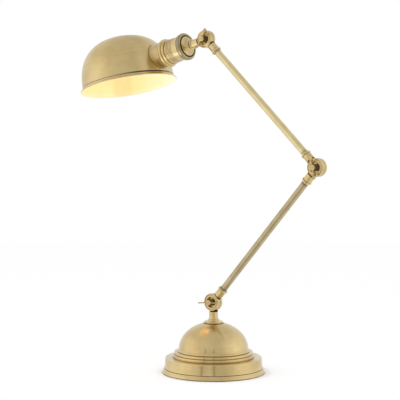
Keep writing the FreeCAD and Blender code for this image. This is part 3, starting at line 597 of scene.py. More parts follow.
def makeFoot():
    wall, groove, bulge, edge, bed = pick(foot, "wall groove stepBulge edge plateBed")
    rim, low, swell, rounding = pick(foot, "radius bottom flangeBulge drumRounding")
    land, height, bore, start, lip = pick(foot, "land domeHeight bore domeStart flangeLip")
    flangeTop = low + foot["flangeHeight"]
    flangeEdge = rim - foot["flangeSlope"]
    drumFoot = rim - foot["flangeWidth"]
    drum = drumFoot - foot["drumTaper"]
    grooveTop = flangeTop + foot["grooveHeight"]
    drumTop = grooveTop + foot["drumHeight"]
    outer = drum - foot["shoulder"]
    outerLow = drumTop + foot["shoulderRise"]
    outerTop = outerLow + foot["outerStep"][1]
    inner = outer - foot["outerStep"][0]
    innerLow = outerTop + land
    innerTop = innerLow + foot["innerStep"][1]
    domeFoot = inner - foot["innerStep"][0]
    domeLow = innerTop + land
    domeFootTop = domeLow + foot["domeFoot"][1]
    domeEdge = domeFoot - foot["domeFootBulge"]
    dome = domeFoot - foot["domeFoot"][0]
    centre = domeLow + foot["domeRise"]
    seat = centre + height * math.sqrt(1 - (foot["seatRadius"] / dome) ** 2)

    def curve(inset, first, last, count):
        points = []
        for step in range(count + 1):
            angle = math.radians(first + (last - first) * step / count)
            reach = (dome - inset) * math.cos(angle)
            points.append((reach, centre + (height - inset) * math.sin(angle)))
        return points

    def stepSide(radius, bottom, top):       # bulging side and rounded upper edge
        soft, (lean, inwards, down) = pick(foot, "stepRounding stepCurve")
        return [
            (radius + bulge, bottom), (radius - bulge, bottom),
            (radius, (bottom + top) / 2 - soft / 2, radius - lean * soft, top - soft),
            (radius - inwards * soft, top - down * soft, radius - soft, top)]

    topAngle = math.degrees(math.asin((seat - centre) / height))
    innerAngle = math.degrees(math.asin((seat - wall - centre) / (height - wall)))
    outside = curve(0, start, topAngle, foot["domeSteps"][0])
    inside = curve(wall, innerAngle, start, foot["domeSteps"][1])
    domeR, domeZ = outside[0]
    sag = foot["domeFootSag"] * foot["domeFoot"][0]
    thick = wall + groove
    steps = [
        (rim - foot["plateGap"], low), *rounded(rim, low, edge, "in", "up"),
        ((rim + flangeEdge) / 2 + swell, (low + flangeTop + swell) / 2,
         flangeEdge + edge, flangeTop - edge),
        (flangeEdge + lip[0] * edge, flangeTop - lip[1] * edge, flangeEdge - edge, flangeTop),
        (drumFoot - groove, flangeTop), (drumFoot - groove, grooveTop),
        *rounded(drumFoot, grooveTop, edge, "in", "up"),
        *rounded(drum, drumTop, rounding, "down", "in"),
        *stepSide(outer, outerLow, outerTop), *stepSide(inner, innerLow, innerTop),
        (domeFoot + bulge, domeLow), (domeEdge, domeLow),
        (domeFoot, (domeLow + domeFootTop) / 2, domeEdge, domeFootTop),
        ((domeEdge + 3 * domeR) / 4, (domeFootTop + domeZ) / 2 - sag, domeR, domeZ),
        outside[1:], (bore, seat), (bore, seat - wall), inside, (inside[-1][0], domeLow - wall),
        (inner - thick, domeLow - wall), (inner - thick, innerLow - wall),
        (outer - thick, innerLow - wall), (outer - thick, drumTop - wall),
        (drum - thick, drumTop - wall), (drum - thick, bed), (rim - foot["plateGap"], bed)]
    shape = newShape()
    # grooves darkened with grime and painted shade; painted shadows at the seat and under the rim
    addTurned(shape, steps, upright, *foot["mesh"], foot["dirt"], [
        movedStainAndShadow(foot["seatShadow"], 0, seat), movedStainAndShadow(foot["rimShadow"], rim, 0)])
    piece = finishPiece(shape, "foot_shell", "base", "base_brass", "base_shell")
    hole = newShape()
    level = Matrix.Translation((0, 0, middleOf("cord_bushing").z))
    addTurned(hole, pipeSteps(0, *foot["entry"]), level @ Matrix.Rotation(-quarterTurn, 4, "X"),
              *foot["entryMesh"])
    cutAway(piece, objectFrom(hole, "cutter"), upright)
    return seat


seatTop = makeFoot()
print("foot done, seat at", round(seatTop, 2), "mm")


# Swivel: plate on the dome and the ring that turns on it
swivel = {
    "plateRadius": 17.65, "plateHeight": 2.3, "edge": 0.3, "edgeCurve": (0.08, 0.1, 0.4),
    # the last mark paints the plate's lower edge dark as the shadow of the gap over the dome
    "side": 0.9, "slope": (0.7, 0.4), "plateMesh": (0.3, 96), "stainAndShadow": (16.6, -0.1, 18.5, 0.9, 1),
    "ringRadius": 15.3, "ringHeight": 1.8, "swell": 0.25, "lean": 0.5, "ringMesh": (0.4, 96),
    "bore": 5.05,
}


def makeSwivel():
    radius, ring, bore, edge = pick(swivel, "plateRadius ringRadius bore edge")
    curve, slope = swivel["edgeCurve"], swivel["slope"]
    low, top = seatTop, seatTop + swivel["plateHeight"]
    high = top + swivel["ringHeight"]
    shape = newShape()
    addTurned(shape, [
        (bore, low), (radius - edge, low),
        (radius - curve[0], low + curve[1], radius, low + curve[2]),
        (radius, low + swivel["side"]), (radius - slope[0], top - slope[1], ring + edge, top),
        (bore, top)], upright, *swivel["plateMesh"], stainsAndShadows=[movedStainAndShadow(swivel["stainAndShadow"], 0, low)])
    finishPiece(shape, "swivel_base_plate", "base", "turned_brass", "swivel_plate")
    shape = newShape()
    addTurned(shape, [
        (bore, top), (ring, top),
        (ring + swivel["swell"], (top + high) / 2, ring - swivel["lean"], high),
        (bore, high)], upright, *swivel["ringMesh"])
    finishPiece(shape, "swivel_turning_ring", "neck", "turned_brass", "swivel_ring")


makeSwivel()


# Knuckles: two halves on one pin, each with a web and a collar on its own side
knuckle = {
    "radius": 15.4, "half": 7.4, "gap": 0.43, "edge": 0.4, "rimRounding": 0.8, "backRounding": 3.2,
    "cove": 3.2, "coveDepth": 1.3, "ring": 3.2, "ringRise": 0.5, "recess": 3.2, "bore": 3.0,
    "webDepth": 5.6, "webIn": 1.6, "webOut": 0.6, "slot": 1.3, "mesh": (0.45, 96),
    # the collar's root is painted black as the slot's shadow; the shank's grooves take grime and
    # painted shade
    "webMesh": (30, 64), "shankMesh": (0.5, 72), "shankDirtAndShade": 0.55, "slotShadow": (-1, 0.4),
    "polishedFrom": 0.5, "polished": 0.05,
}
collar = {
    "radius": 7.5, "length": 17.0, "edge": 0.5, "ringRadius": 8.8, "ringWidth": 3.2,
    "lipRadius": 6.8, "lip": 1.6, "lipRounding": (0.3, 0.1), "headLip": 0.4, "groove": 0.5,
    "bore": 6.05, "socket": 12.5,
}
neck = {
    "radius": 7.7, "length": 16.15, "bandRadius": 9.3, "band": 3.4, "bandRounding": (0.4, 0.1),
    "step": 0.5, "flare": 3.0, "flareBend": 0.4, "bore": 5.05,
}
collarStart = knuckle["radius"] + knuckle["slot"]
collarEnd = collarStart + collar["length"]
headCollarEnd = collarEnd + collar["headLip"]
socketFloor = collarEnd - collar["socket"]


def frontHalfSteps():
    radius, half, gap, edge, bore = pick(knuckle, "radius half gap edge bore")
    rounding, cove, recess = pick(knuckle, "rimRounding coveDepth recess")
    ringOuter = radius - knuckle["cove"]
    ringInner = ringOuter - knuckle["ring"]
    return [
        (bore, gap), *rounded(radius, gap, edge, "in", "up"),
        *rounded(radius, half, rounding, "down", "in"),
        ((radius - rounding + ringOuter) / 2, half - cove, ringOuter, half - cove / 2),
        ((ringOuter + ringInner) / 2, half + knuckle["ringRise"], ringInner, half - cove / 2),
        (ringInner, recess), (bore, recess)]


def backHalfSteps():
    radius, half, gap, edge, bore = pick(knuckle, "radius half gap edge bore")
    return [
        (bore, -half), *rounded(radius, -half, knuckle["backRounding"], "in", "up"),
        *rounded(radius, -gap, edge, "down", "in"), (bore, -gap)]


def collarSteps(end, lip):
    radius, groove, bore, lipRadius = pick(collar, "radius groove bore lipRadius")
    ringStart = end - lip - collar["ringWidth"]
    ringEnd = ringStart + collar["ringWidth"]
    rounding, off = collar["lipRounding"]
    return [
        (0, collarStart), *rounded(radius, collarStart, collar["edge"], "in", "up"),
        (radius, ringStart - groove), (radius - groove, ringStart - groove),
        (radius - groove, ringStart),
        (collar["ringRadius"], (ringStart + ringEnd) / 2, radius - groove, ringEnd),
        (lipRadius, ringEnd), *rounded(lipRadius, end, rounding, "down", "in", off),
        (bore, end), (bore, socketFloor), (0, socketFloor)]


def neckSteps():
    radius, band, step, bend, bore = pick(neck, "radius bandRadius step flareBend bore")
    end = collarStart + neck["length"]
    bandStart = end - neck["band"]
    flareStart = bandStart - neck["flare"]
    rounding, off = neck["bandRounding"]
    return [
        (0, collarStart), *rounded(radius, collarStart, collar["edge"], "in", "up"),
        (radius, flareStart),
        (radius + bend, (flareStart + bandStart) / 2, band - step, bandStart),
        (band - step, bandStart + step), (band, bandStart + step),
        *rounded(band, end, rounding, "down", "in", off),
        (bore, end), (bore, socketFloor), (0, socketFloor)]


def addWeb(shape, place, side, radius):       # round bar trimmed to its own side of the joint line
    kept = set(shape.verts)
    start = knuckle["radius"] - knuckle["cove"] - knuckle["ring"] + knuckle["webIn"]
    end = collarStart + knuckle["webOut"]
    # the web is painted dark all over, as shade in the slot
    addTurned(shape, pipeSteps(0, radius, start, end), alongX(place), *knuckle["webMesh"],
              stainsAndShadows=[(0, start, radius, end, 1)])
    for depth, facing in ((knuckle["gap"], -1), (knuckle["webDepth"], 1)):
        fresh = freshVerts(shape, kept)
        edges = {edge for vert in fresh for edge in vert.link_edges}
        faces = {face for vert in fresh for face in vert.link_faces}
        made = bmesh.ops.bisect_plane(
            shape, geom=fresh + list(edges) + list(faces), clear_outer=True,
            plane_co=place @ Vector((0, -side * depth * mm, 0)),
            plane_no=place.to_3x3() @ Vector((0, -side * facing, 0)))
        rim = [item for item in made["geom_cut"] if isinstance(item, bmesh.types.BMEdge)]
        bmesh.ops.edgeloop_fill(shape, edges=rim)
    faceOutwards(shape, freshVerts(shape, kept))


def makeKnuckle(name, body, node, place, side, shank, shankRadius):
    shape = newShape()
    steps, stainsAndShadows = backHalfSteps(), []
    if side > 0:
        cove = knuckle["radius"] - knuckle["cove"] - knuckle["ring"] / 2
        steps = frontHalfSteps()
        stainsAndShadows = [(cove, knuckle["polishedFrom"], beyond, beyond, knuckle["polished"])]
    addTurned(shape, steps, towardsFront(place), *knuckle["mesh"], stainsAndShadows=stainsAndShadows)
    addWeb(shape, place, side, shankRadius)
    # the slot at the collar's root is painted black, as its shadow
    low, high = knuckle["slotShadow"]
    addTurned(shape, shank, alongX(place), *knuckle["shankMesh"], knuckle["shankDirtAndShade"],
              [(0, collarStart + low, beyond, collarStart + high, 1)])
    finishPiece(shape, name, body, "turned_brass", node)


makeKnuckle("neck_knuckle", "neck", "neck_post", neckPlace, -1, neckSteps(), neck["radius"])
armCollar = collarSteps(collarEnd, collar["lip"])
for arm, end, nodeEnd, place, side in (
        ("lower_arm", "_foot", "_bottom", lowerPlace, 1),
        ("lower_arm", "_head", "_top", lowerEndPlace, -1),
        ("upper_arm", "_foot", "_bottom", upperPlace, 1),
        ("upper_arm", "_head", "_top", upperEndPlace, -1)):
    makeKnuckle(arm + end + "_knuckle", arm, arm + nodeEnd + "_knuckle", place, side, armCollar,
                collar["radius"])
makeKnuckle("shade_arm_knuckle", "head", "head_knuckle", headPlace, 1,
            collarSteps(headCollarEnd, collar["headLip"]), collar["radius"])
print("knuckles done")


# Arm tubes, from socket floor to socket floor, darker near the collars: a dark joint line and a
# painted shadow of the collar
tube = {
    "radius": 6.0, "wall": 1.0, "length": 320.0, "mesh": (0.8, 60),
    "stainsAndShadows": ((5.0, 0.3), (1.5, 1.0)), "clean": 0.1, "dirt": {"lower": 0.9, "upper": 0.7},
}


def makeTube(arm, place):
    radius, wall, length, dirt = pick(tube, "radius wall length dirt")
    low, high, inner = socketFloor, length - socketFloor, radius - wall
    skin = inner + tube["clean"]       # the bore stays clean
    stainsAndShadows = []
    for reach, share in tube["stainsAndShadows"]:
        for start, end in ((low, collarEnd + reach), (length - collarEnd - reach, high)):
            stainsAndShadows.append((skin, start, beyond, end, dirt[arm] * share))
    shape = newShape()
    addTurned(shape, pipeSteps(inner, radius, low, high), alongX(place), *tube["mesh"],
              stainsAndShadows=stainsAndShadows)
    finishPiece(shape, arm + "_tube", arm + "_arm", arm + "_tube_brass", arm + "_arm_tube")


makeTube("lower", lowerPlace)
makeTube("upper", upperPlace)


# Thumb screws: shank and hub turned, two wings that sweep forward
thumb = {
    "shank": 2.95, "shankEnd": -7.0, "shankEdge": 0.5, "hub": 4.6, "hubSeat": 4.43, "seatEdge": 0.6,
    "hubEnd": 16.0, "hubRounding": (0.8, 0.2), "crown": (0.22, 0.3), "mesh": (0.5, 48),
    "reach": 20.0, "wingEnd": 20.5, "wingFoot": 9.0, "root": 1.2, "knee": (2.4, 0.4),
    "belly": (3.2, 8.6, 4.2), "tip": (0.4, 1.0, 2.8), "saddle": (4.4, 0.6, 0.8),
    "wingSpacing": 0.8, "thickness": 1.8, "rounding": 0.5, "roundSteps": 3,
    "turns": {"base": 4.0, "elbow": 104.0, "head": 56.0},
}


def addWing(shape, place, side):
    kept = set(shape.verts)
    hub, hubEnd, reach, end, low = pick(thumb, "hub hubEnd reach wingEnd wingFoot")
    knee, belly, tip, saddle = pick(thumb, "knee belly tip saddle")
    root, half = hub - thumb["root"], thumb["thickness"] / 2
    points = outlinePoints([
        (root, low), (hub + knee[0], low + knee[1]),
        (reach - belly[0], end - belly[1], reach, end - belly[2]),
        (reach - tip[0], end - tip[1], reach - tip[2], end),
        (hub + saddle[0], hubEnd + saddle[1], root, hubEnd - saddle[2])], thumb["wingSpacing"])
    verts = [shape.verts.new((point.x * mm, -half * mm, point.y * mm)) for point in points]
    grown = bmesh.ops.extrude_face_region(shape, geom=[shape.faces.new(verts)])
    lifted = [item for item in grown["geom"] if isinstance(item, bmesh.types.BMVert)]
    bmesh.ops.translate(shape, vec=(0, 2 * half * mm, 0), verts=lifted)
    fresh = freshVerts(shape, kept)
    faceOutwards(shape, fresh)
    rims = [edge for edge in {edge for vert in fresh for edge in vert.link_edges}
            if abs(edge.verts[0].co.y - edge.verts[1].co.y) < fineness["weld"]]
    bmesh.ops.bevel(shape, geom=rims, offset=thumb["rounding"] * mm, offset_type="OFFSET",
                    segments=thumb["roundSteps"], profile=0.5, affect="EDGES", material=-1)
    fresh = freshVerts(shape, kept)
    turn = Matrix.Rotation(0 if side > 0 else halfTurn, 4, "Z")
    bmesh.ops.transform(shape, matrix=place @ turn, verts=fresh)
    brushVerts(shape, place, fresh)


def makeThumbScrew(joint, pivot):
    turn = Matrix.Rotation(-math.radians(thumb["turns"][joint]), 4, "Y")
    place = Matrix.Translation(pivot) @ turn @ Matrix.Rotation(quarterTurn, 4, "X")
    hub, seat, end, shank = pick(thumb, "hub hubSeat hubEnd shank")
    start, edge, seatEdge, crown = pick(thumb, "shankEnd shankEdge seatEdge crown")
    rounding, off = thumb["hubRounding"]
    shape = newShape()
    addTurned(shape, [
        (0, start), (shank - edge, start), (shank, start + edge), (shank, seat),
        (hub - seatEdge, seat), (hub, seat + seatEdge),
        *rounded(hub, end, rounding, "down", "in", off),
        (hub / 2, end + crown[0], 0, end + crown[1])], place, *thumb["mesh"])
    for side in (1, -1):
        addWing(shape, place, side)
    finishPiece(shape, joint + "_wing_screw", joint + "_thumb", "thumb_brass",
                joint + "_thumb_screw")


for joint, pivot in (("base", basePivot), ("elbow", elbowPivot), ("head", headPivot)):
    makeThumbScrew(joint, pivot)
print("thumb screws done")


# Lampholder: cap, cap ring, sleeve and shade ring in a row from the head knuckle
holder = {
    "nipple": 6.0, "nippleWall": 1.8, "nippleInside": 7.0, "capGap": 1.9, "capBoss": 7.0,
    "bossEdge": (0.5, 0.12, 0.15, 0.6), "capCone": 7.8, "capSlope": (3.8, 2.9, 0.8, 0.6),
    "capRadius": 18.5, "capEdge": (0.1, 0.3, 0.4), "capWall": 1.6, "capFloor": 0.2,
    "capGroove": 1.25, "grooveDepth": 2.2, "grooveStart": 0.4, "grooveEdge": 0.6,
    "capRingRadius": 24.3, "capRingLength": 8.6, "capRingTop": (1.7, 0.1, 1.2, 0.8),
    "capRingSide": (0.3, 1.8, 3.4), "capRingBack": (3.0, 2.4, 0.6), "capRingStep": (0.5, 1.2),
    "sleeve": 21.5, "sleeveWall": 1.3, "sleeveLength": 28.6,
    "beads": 4, "beadMargin": 2.0, "beadPitch": 3.6, "beadWidth": 0.8, "beadHeight": 0.45,
    "ringRadius": 25.7, "ringStep": 1.9, "ringLength": 12.4, "ringNeck": (0.9, 0.7),
    "ringLow": (0.8, 0.5), "ringHigh": (0.8, 0.3, 1.2), "fitter": 23.0, "fitterWall": 1.3,
    # the sleeve's bead valleys are darkened with grime and painted shade
    "play": 0.05, "mesh": (0.6, 120), "sleeveDirtAndShade": 1.15,
    # painted shade: the nipple dark in its gap, the cap's edge and the ring's groove black round
    # the cap; dark joint lines at the cap ring's end and the shade ring's foot; the cap's dish and
    # the shade ring's top kept clean
    "nippleShadows": [(0, 0, 9, beyond, 0.6)],
    "capShadows": [(9, -beyond, 17.2, -0.2, 0.05), (17.6, -0.6, 19, beyond, 1)],
    "capRingJointAndShadows": [(0, 0, 20.45, beyond, 1), (23, 7.6, 25, 8.6, 0.8)],
    "shadeRingStains": [(0, -0.1, 21.4, 0.8, 1), (22.5, 2, 30, beyond, 0.05)],
}
bossStart = headCollarEnd + holder["capGap"]
capStart = bossStart + holder["capCone"]
sleeveStart = capStart + holder["capRingLength"]
sleeveEnd = sleeveStart + holder["sleeveLength"]
ringEnd = sleeveEnd + holder["ringLength"]


def endCapSteps():       # shallow dish with a low boss round the nipple
    radius, boss, wall, slope, lip = pick(holder, "capRadius capBoss capWall capSlope capEdge")
    bore, edge = holder["nipple"] + holder["play"], holder["bossEdge"]
    return [
        (bore, bossStart), (boss - edge[0], bossStart),
        (boss - edge[1], bossStart + edge[2], boss, bossStart + edge[3]),
        (boss + slope[0], capStart - slope[1], radius - slope[2], capStart - slope[3]),
        (radius - lip[0], capStart - lip[1], radius, capStart + lip[2]),
        (radius, sleeveStart), (radius - wall, sleeveStart), (radius - wall, capStart + wall),
        (bore, capStart - holder["capFloor"])]


def capRingSteps():
    inner, outer = holder["capRadius"] + holder["play"], holder["capRingRadius"]
    top, side, back, step = pick(holder, "capRingTop capRingSide capRingBack capRingStep")
    groove, depth = inner + holder["capGroove"], holder["grooveDepth"]
    start, end = capStart - holder["grooveStart"], sleeveStart
    return [
        (inner, start + depth), (groove, start + depth), (groove, start + holder["grooveEdge"]),
        (groove + top[0], start - top[1], outer - top[2], start + top[3]),
        (outer - side[0], start + side[1], outer, start + side[2]),
        (outer, end - back[0]), (outer - step[0], end - back[1]), (outer - step[0], end - back[2]),
        (outer - step[1], end), (inner, end)]


def sleeveSteps():
    radius, inner = holder["sleeve"], holder["sleeve"] - holder["sleeveWall"]
    beads, pitch = holder["beads"], holder["beadPitch"]
    first = sleeveEnd - holder["beadMargin"] - beads * pitch
    steps = [(inner, sleeveStart), (radius, sleeveStart)]
    for index in range(beads):
        low = first + pitch * index
        high = low + pitch * holder["beadWidth"]
        steps += [(radius, low), (radius + holder["beadHeight"], (low + high) / 2, radius, high)]
    return steps + [(radius, sleeveEnd), (inner, sleeveEnd)]


def shadeRingSteps():
    inner, high = holder["sleeve"] - holder["sleeveWall"], holder["ringRadius"]
    (neckIn, gap), lowEdge, edge = pick(holder, "ringNeck ringLow ringHigh")
    low, middle = high - holder["ringStep"], (sleeveEnd + ringEnd) / 2
    neckRadius, start = holder["sleeve"] - neckIn, sleeveEnd + gap
    return [
        (inner, sleeveEnd), (neckRadius, sleeveEnd), (neckRadius, start), (low - lowEdge[0], start),
        (low, (start + middle) / 2, low - lowEdge[1], middle), (high - edge[0], middle + edge[1]),
        (high, (middle + ringEnd) / 2, high - edge[2], ringEnd), (inner, ringEnd)]


nippleSteps = pipeSteps(holder["nipple"] - holder["nippleWall"], holder["nipple"], socketFloor,
                        bossStart + holder["nippleInside"])
for name, node, slot, steps, dirt, stainsAndShadows, origin in (
        ("holder_nipple", "head_nipple", "turned_brass", nippleSteps, 1.0,
         holder["nippleShadows"], headCollarEnd),
        ("holder_cap", "holder_end_cap", "holder_brass", endCapSteps(), 1.0,
         holder["capShadows"], capStart),
        ("holder_locking_ring", "holder_cap_ring", "cap_ring_brass", capRingSteps(), 1.0,
         holder["capRingJointAndShadows"], capStart),
        ("holder_body_sleeve", "holder_sleeve", "holder_brass", sleeveSteps(),
         holder["sleeveDirtAndShade"], [], sleeveStart),
        ("holder_shade_ring", "shade_ring", "holder_brass", shadeRingSteps(), 1.0,
         holder["shadeRingStains"], sleeveEnd)):
    shape = newShape()
    addTurned(shape, steps, alongX(headPlace), *holder["mesh"], dirt,
              [movedStainAndShadow(stainAndShadow, 0, origin) for stainAndShadow in stainsAndShadows])
    finishPiece(shape, name, "head", slot, node)
print("lampholder done")


# Shade: dome over a flared rim, cream enamel inside, pipe collar at its side
shade = {
    "drop": 34.9, "radius": 85.1, "height": 88.8, "foot": 3.6, "power": 2.49, "wall": 0.8,
    "axis": 194.5, "rimHeight": 7.8, "rimFlare": 4.2, "rimRoll": 1.2, "rimGroove": 0.35,
    "grooveEnds": (0.2, 0.6), "flareDrop": 1.6, "flareInside": (0.3, 2.4),
    "flareOutside": (0.36, 2.2, 0.9), "rollBack": (0.7, 1.0, 0.2, 1.3), "linerGap": 0.1,
    "liner": 0.6, "linerTop": 0.6, "linerFlare": (0.3, 2.2, 1.9), "enamelEdge": 0.25,
    "enamelLap": 0.05, "seam": 1.1, "pipeGrimeAndShade": 0.16, "mesh": (0.7, 192), "linerMesh": (0.8, 160),
    "outerSteps": 90, "innerSteps": 60, "pipeMesh": (0.7, 120), "cutMesh": (2.0, 192),
    "holeMesh": (100, 96),
}
shadePlace = headPlace @ Matrix.Translation((shade["axis"] * mm, 0, shade["drop"] * mm)) \
    @ Matrix.Rotation(halfTurn, 4, "X")


def domePoints(inset, count):       # from above the rim to the crown
    radius, height, start, power = pick(shade, "radius height foot power")
    rise = (shade["rimHeight"] - start) / (height - inset)
    first = math.asin(rise ** (power / 2))
    points = []
    for step in range(count + 1):
        angle = first + (quarterTurn - first) * step / count
        reach = (radius - inset) * max(0.0, math.cos(angle)) ** (2 / power)
        level = start + (height - inset) * math.sin(angle) ** (2 / power)
        points.append((reach if step < count else 0.0, level))
    return points


rollCentre = shade["radius"] + shade["rimFlare"] - shade["rimRoll"]
flareTop = shade["rimHeight"] - shade["flareDrop"]
enamelTurn = halfTurn / 3       # where the enamel ends on the rolled lip, down from its outside


def onRoll(radius, share=1):       # a point round the lip's centre, as far as the enamel's end
    turn = enamelTurn * share
    return rollCentre + radius * math.cos(turn), shade["rimRoll"] - radius * math.sin(turn)


def shadeSteps():
    wall, roll, flare, rim, groove = pick(shade, "wall rimRoll rimFlare rimHeight rimGroove")
    inward, outward, back, ends = pick(shade, "flareInside flareOutside rollBack grooveEnds")
    outside, inside = domePoints(0, shade["outerSteps"]), domePoints(wall, shade["innerSteps"])
    side, innerSide = outside[0][0], inside[0][0]
    under = roll - shade["enamelEdge"]
    return [
        (0, outside[-1][1] - wall), inside[-2::-1], (innerSide, flareTop),
        (innerSide + inward[0] * flare, flareTop - inward[1], rollCentre - under, roll),
        (rollCentre, roll - under, *onRoll(under)), onRoll(roll),
        (*onRoll(roll, 0.5), rollCentre + roll, roll),
        (rollCentre + back[0], roll + back[1], rollCentre + back[2], roll + back[3]),
        (side + outward[0] * flare, flareTop - outward[1], side + outward[2], flareTop),
        (side - groove, flareTop + ends[0]), (side - groove, rim - ends[1]), (side, rim),
        outside[1:]]


def linerSteps():       # enamel on the inner wall, on round the underside of the rolled lip
    inset, (flat, inner, outer) = shade["wall"] + shade["linerGap"], shade["linerFlare"]
    outside = domePoints(inset, shade["innerSteps"])
    inside = domePoints(inset + shade["liner"], shade["innerSteps"])
    roll, flare, top = shade["rimRoll"], shade["rimFlare"], flareTop + shade["linerTop"]
    under = roll - shade["enamelEdge"] + shade["enamelLap"]
    side, outerSide = inside[0][0], outside[0][0]
    return [
        (0, inside[-1][1]), inside[-2::-1], (side, top),
        (side + flat * flare, flareTop - inner, rollCentre - roll, roll),
        (rollCentre, 0, *onRoll(roll)), onRoll(under),
        (rollCentre, roll - under, rollCentre - under, roll),
        (outerSide + flat * flare, flareTop - outer, outerSide, top), outside]


def makeShade():
    bore = holder["fitter"] - holder["fitterWall"]
    for name, node, slot, steps, mesh in (
            ("dome_shade", "shade", "shade_brass", shadeSteps(), shade["mesh"]),
            ("shade_enamel_liner", "shade_liner", "liner_enamel", linerSteps(),
             shade["linerMesh"])):
        shape, hole = newShape(), newShape()
        addTurned(shape, steps, shadePlace, *mesh)
        piece = finishPiece(shape, name, "head", slot, node)
        addTurned(hole, pipeSteps(0, bore, ringEnd, shade["axis"]), alongX(headPlace),
                  *shade["holeMesh"])
        cutAway(piece, objectFrom(hole, "cutter"), shadePlace)


def makeFitter():
    outer, inner = holder["fitter"], holder["fitter"] - holder["fitterWall"]
    radius, height, start, power = pick(shade, "radius height foot power")
    far = shade["axis"] - radius / 2
    pipe, dome = newShape(), newShape()
    addTurned(pipe, pipeSteps(inner, outer, ringEnd, far), alongX(headPlace), *shade["pipeMesh"])
    piece = finishPiece(pipe, "shade_fitter_pipe", "head", "holder_brass", "fitter_collar")
    points = domePoints(0, shade["outerSteps"])
    steps = [(0, shade["rimHeight"]), points[0], points[1:]]
    addTurned(dome, steps, shadePlace, *shade["cutMesh"])
    cutAway(piece, objectFrom(dome, "cutter"), alongX(headPlace))
    soil = piece.data.attributes["soil"].data
    for vert in piece.data.vertices:       # dark along the seam with grime and painted shade, by the distance from the dome, and a little dark all over
        spot = shadePlace.inverted() @ vert.co / mm
        rise = max(0.0, spot.z - start)
        level = ((spot.xy.length / radius) ** power + (rise / height) ** power) ** (1 / power)
        soil[vert.index].value = max(shade["pipeGrimeAndShade"], 1 - (level - 1) * radius / shade["seam"])


makeShade()
makeFitter()
print("shade done")


# Bulb glass: neck, shoulder and ball
bulb = {"start": 101.0, "neck": 12.2, "radius": 22.5, "tip": 154.0, "shoulder": 40.0,
        "bend": 0.8, "mesh": (1.2, 72)}


def makeBulb():
    start, radius, narrow, bend = pick(bulb, "start radius neck bend")
    centre, join = bulb["tip"] - radius, math.radians(bulb["shoulder"])
    across, below = radius * math.cos(join), radius * math.sin(join)
    crown = radius * math.sin(quarterTurn / 2)
    shape = newShape()
    addTurned(shape, [
        (0, start), (narrow, start),
        (narrow + bend, (start + centre - below) / 2, across, centre - below),
        (radius, centre, across, centre + below), (crown, centre + crown, 0, centre + radius)],
        alongX(headPlace), *bulb["mesh"])
    finishPiece(shape, "bulb_globe", "head", "bulb_glass", "bulb_glass")


makeBulb()
print("bulb done")


# Studio: pale floor, soft lamps and white background; a grey card and dark stands that only
# reflections see; the camera at the photograph's place
studio = {
    "floor": 3.0, "floorColour": (0.95, 0.95, 0.95, 1), "segments": 96, "worldDiffuse": 0.75,
    "rings": ((0.0960, 0.0), (0.1050, 0.55), (0.135, 0.85), (0.30, 0.95)),
    "key": {"size": 2.4, "power": 20, "place": (-1.3, -1.9, 1.9), "aim": (0.02, 0, 0.3)},
    "fill": {"size": 2.0, "power": 10, "place": (2.2, -1.0, 1.2), "aim": (0.02, 0, 0.3)},
    "top": {"size": 2.4, "power": 14, "place": (0.1, 0.2, 2.6), "aim": (0.02, 0, 0.3)},
    "low": {"size": 0.70, "power": 0.75, "place": (-0.10, -0.30, 0.02), "aim": (-0.05, 0, 0.5),
            "receivers": ("holder_", "shade_arm", "head_wing", "upper_arm_head")},
    "card": {"radius": 2.9, "meridians": 64, "parallels": 48, "lift": 0.0005, "grey": 0.68,
             "side": 0.30, "back": -0.65, "dip": 0.07, "dipTurn": 20.0, "dipRange": (0.92, 1.0),
             "top": -0.04, "topRange": (0.5, 0.95),
             "far": (0.95, 0.30, 0.15, -0.75), "near": (0.95, 0.60, 0.50, -0.30)},
    "stands": {"distance": 1.2, "radius": 0.035, "height": 0.55, "grey": 0.12, "segments": 24,
               "azimuths": (10.4, 39.0), "foot": 0.085, "lift": 0.001, "tip": 0.001,
               "flatness": 0.01},
}
view = {
    "azimuth": 38.0, "distance": 2.03557, "height": 0.38648, "yaw": 0.67, "pitch": 2.36,
    "lens": 104.91, "clipEnd": 20,
}
white = (1, 1, 1, 1)


def azimuthWay(degrees):
    turn = math.radians(degrees)
    return Vector((math.sin(turn), -math.cos(turn), 0))


def whiteRays(tree):       # 1 for what the camera, a reflection or a clear material sees
    rays = addNode(tree, "ShaderNodeLightPath").outputs
    seen = maths(tree, "MAXIMUM", rays["Is Camera Ray"], rays["Is Glossy Ray"])
    return maths(tree, "MAXIMUM", seen, rays["Is Transmission Ray"])


def makeWorld():
    world = bpy.data.worlds.new("studio")
    bpy.context.scene.world = world
    world.use_nodes = True
    tree = world.node_tree
    background = tree.nodes["Background"]
    background.inputs["Color"].default_value = white
    strength = rescaled(tree, whiteRays(tree), 0, 1, studio["worldDiffuse"], 1.0)
    connect(tree, background, {"Strength": strength})


def stagePiece(name, shape):
    piece = objectFrom(shape, name)
    material = bpy.data.materials.new(name)
    material.use_nodes = True
    material.node_tree.nodes.clear()
    piece.data.materials.append(material)
    return piece, material.node_tree


def glowing(tree, strength):
    inputs = {"Color": white, "Strength": strength}
    return addNode(tree, "ShaderNodeEmission", inputs).outputs[0]


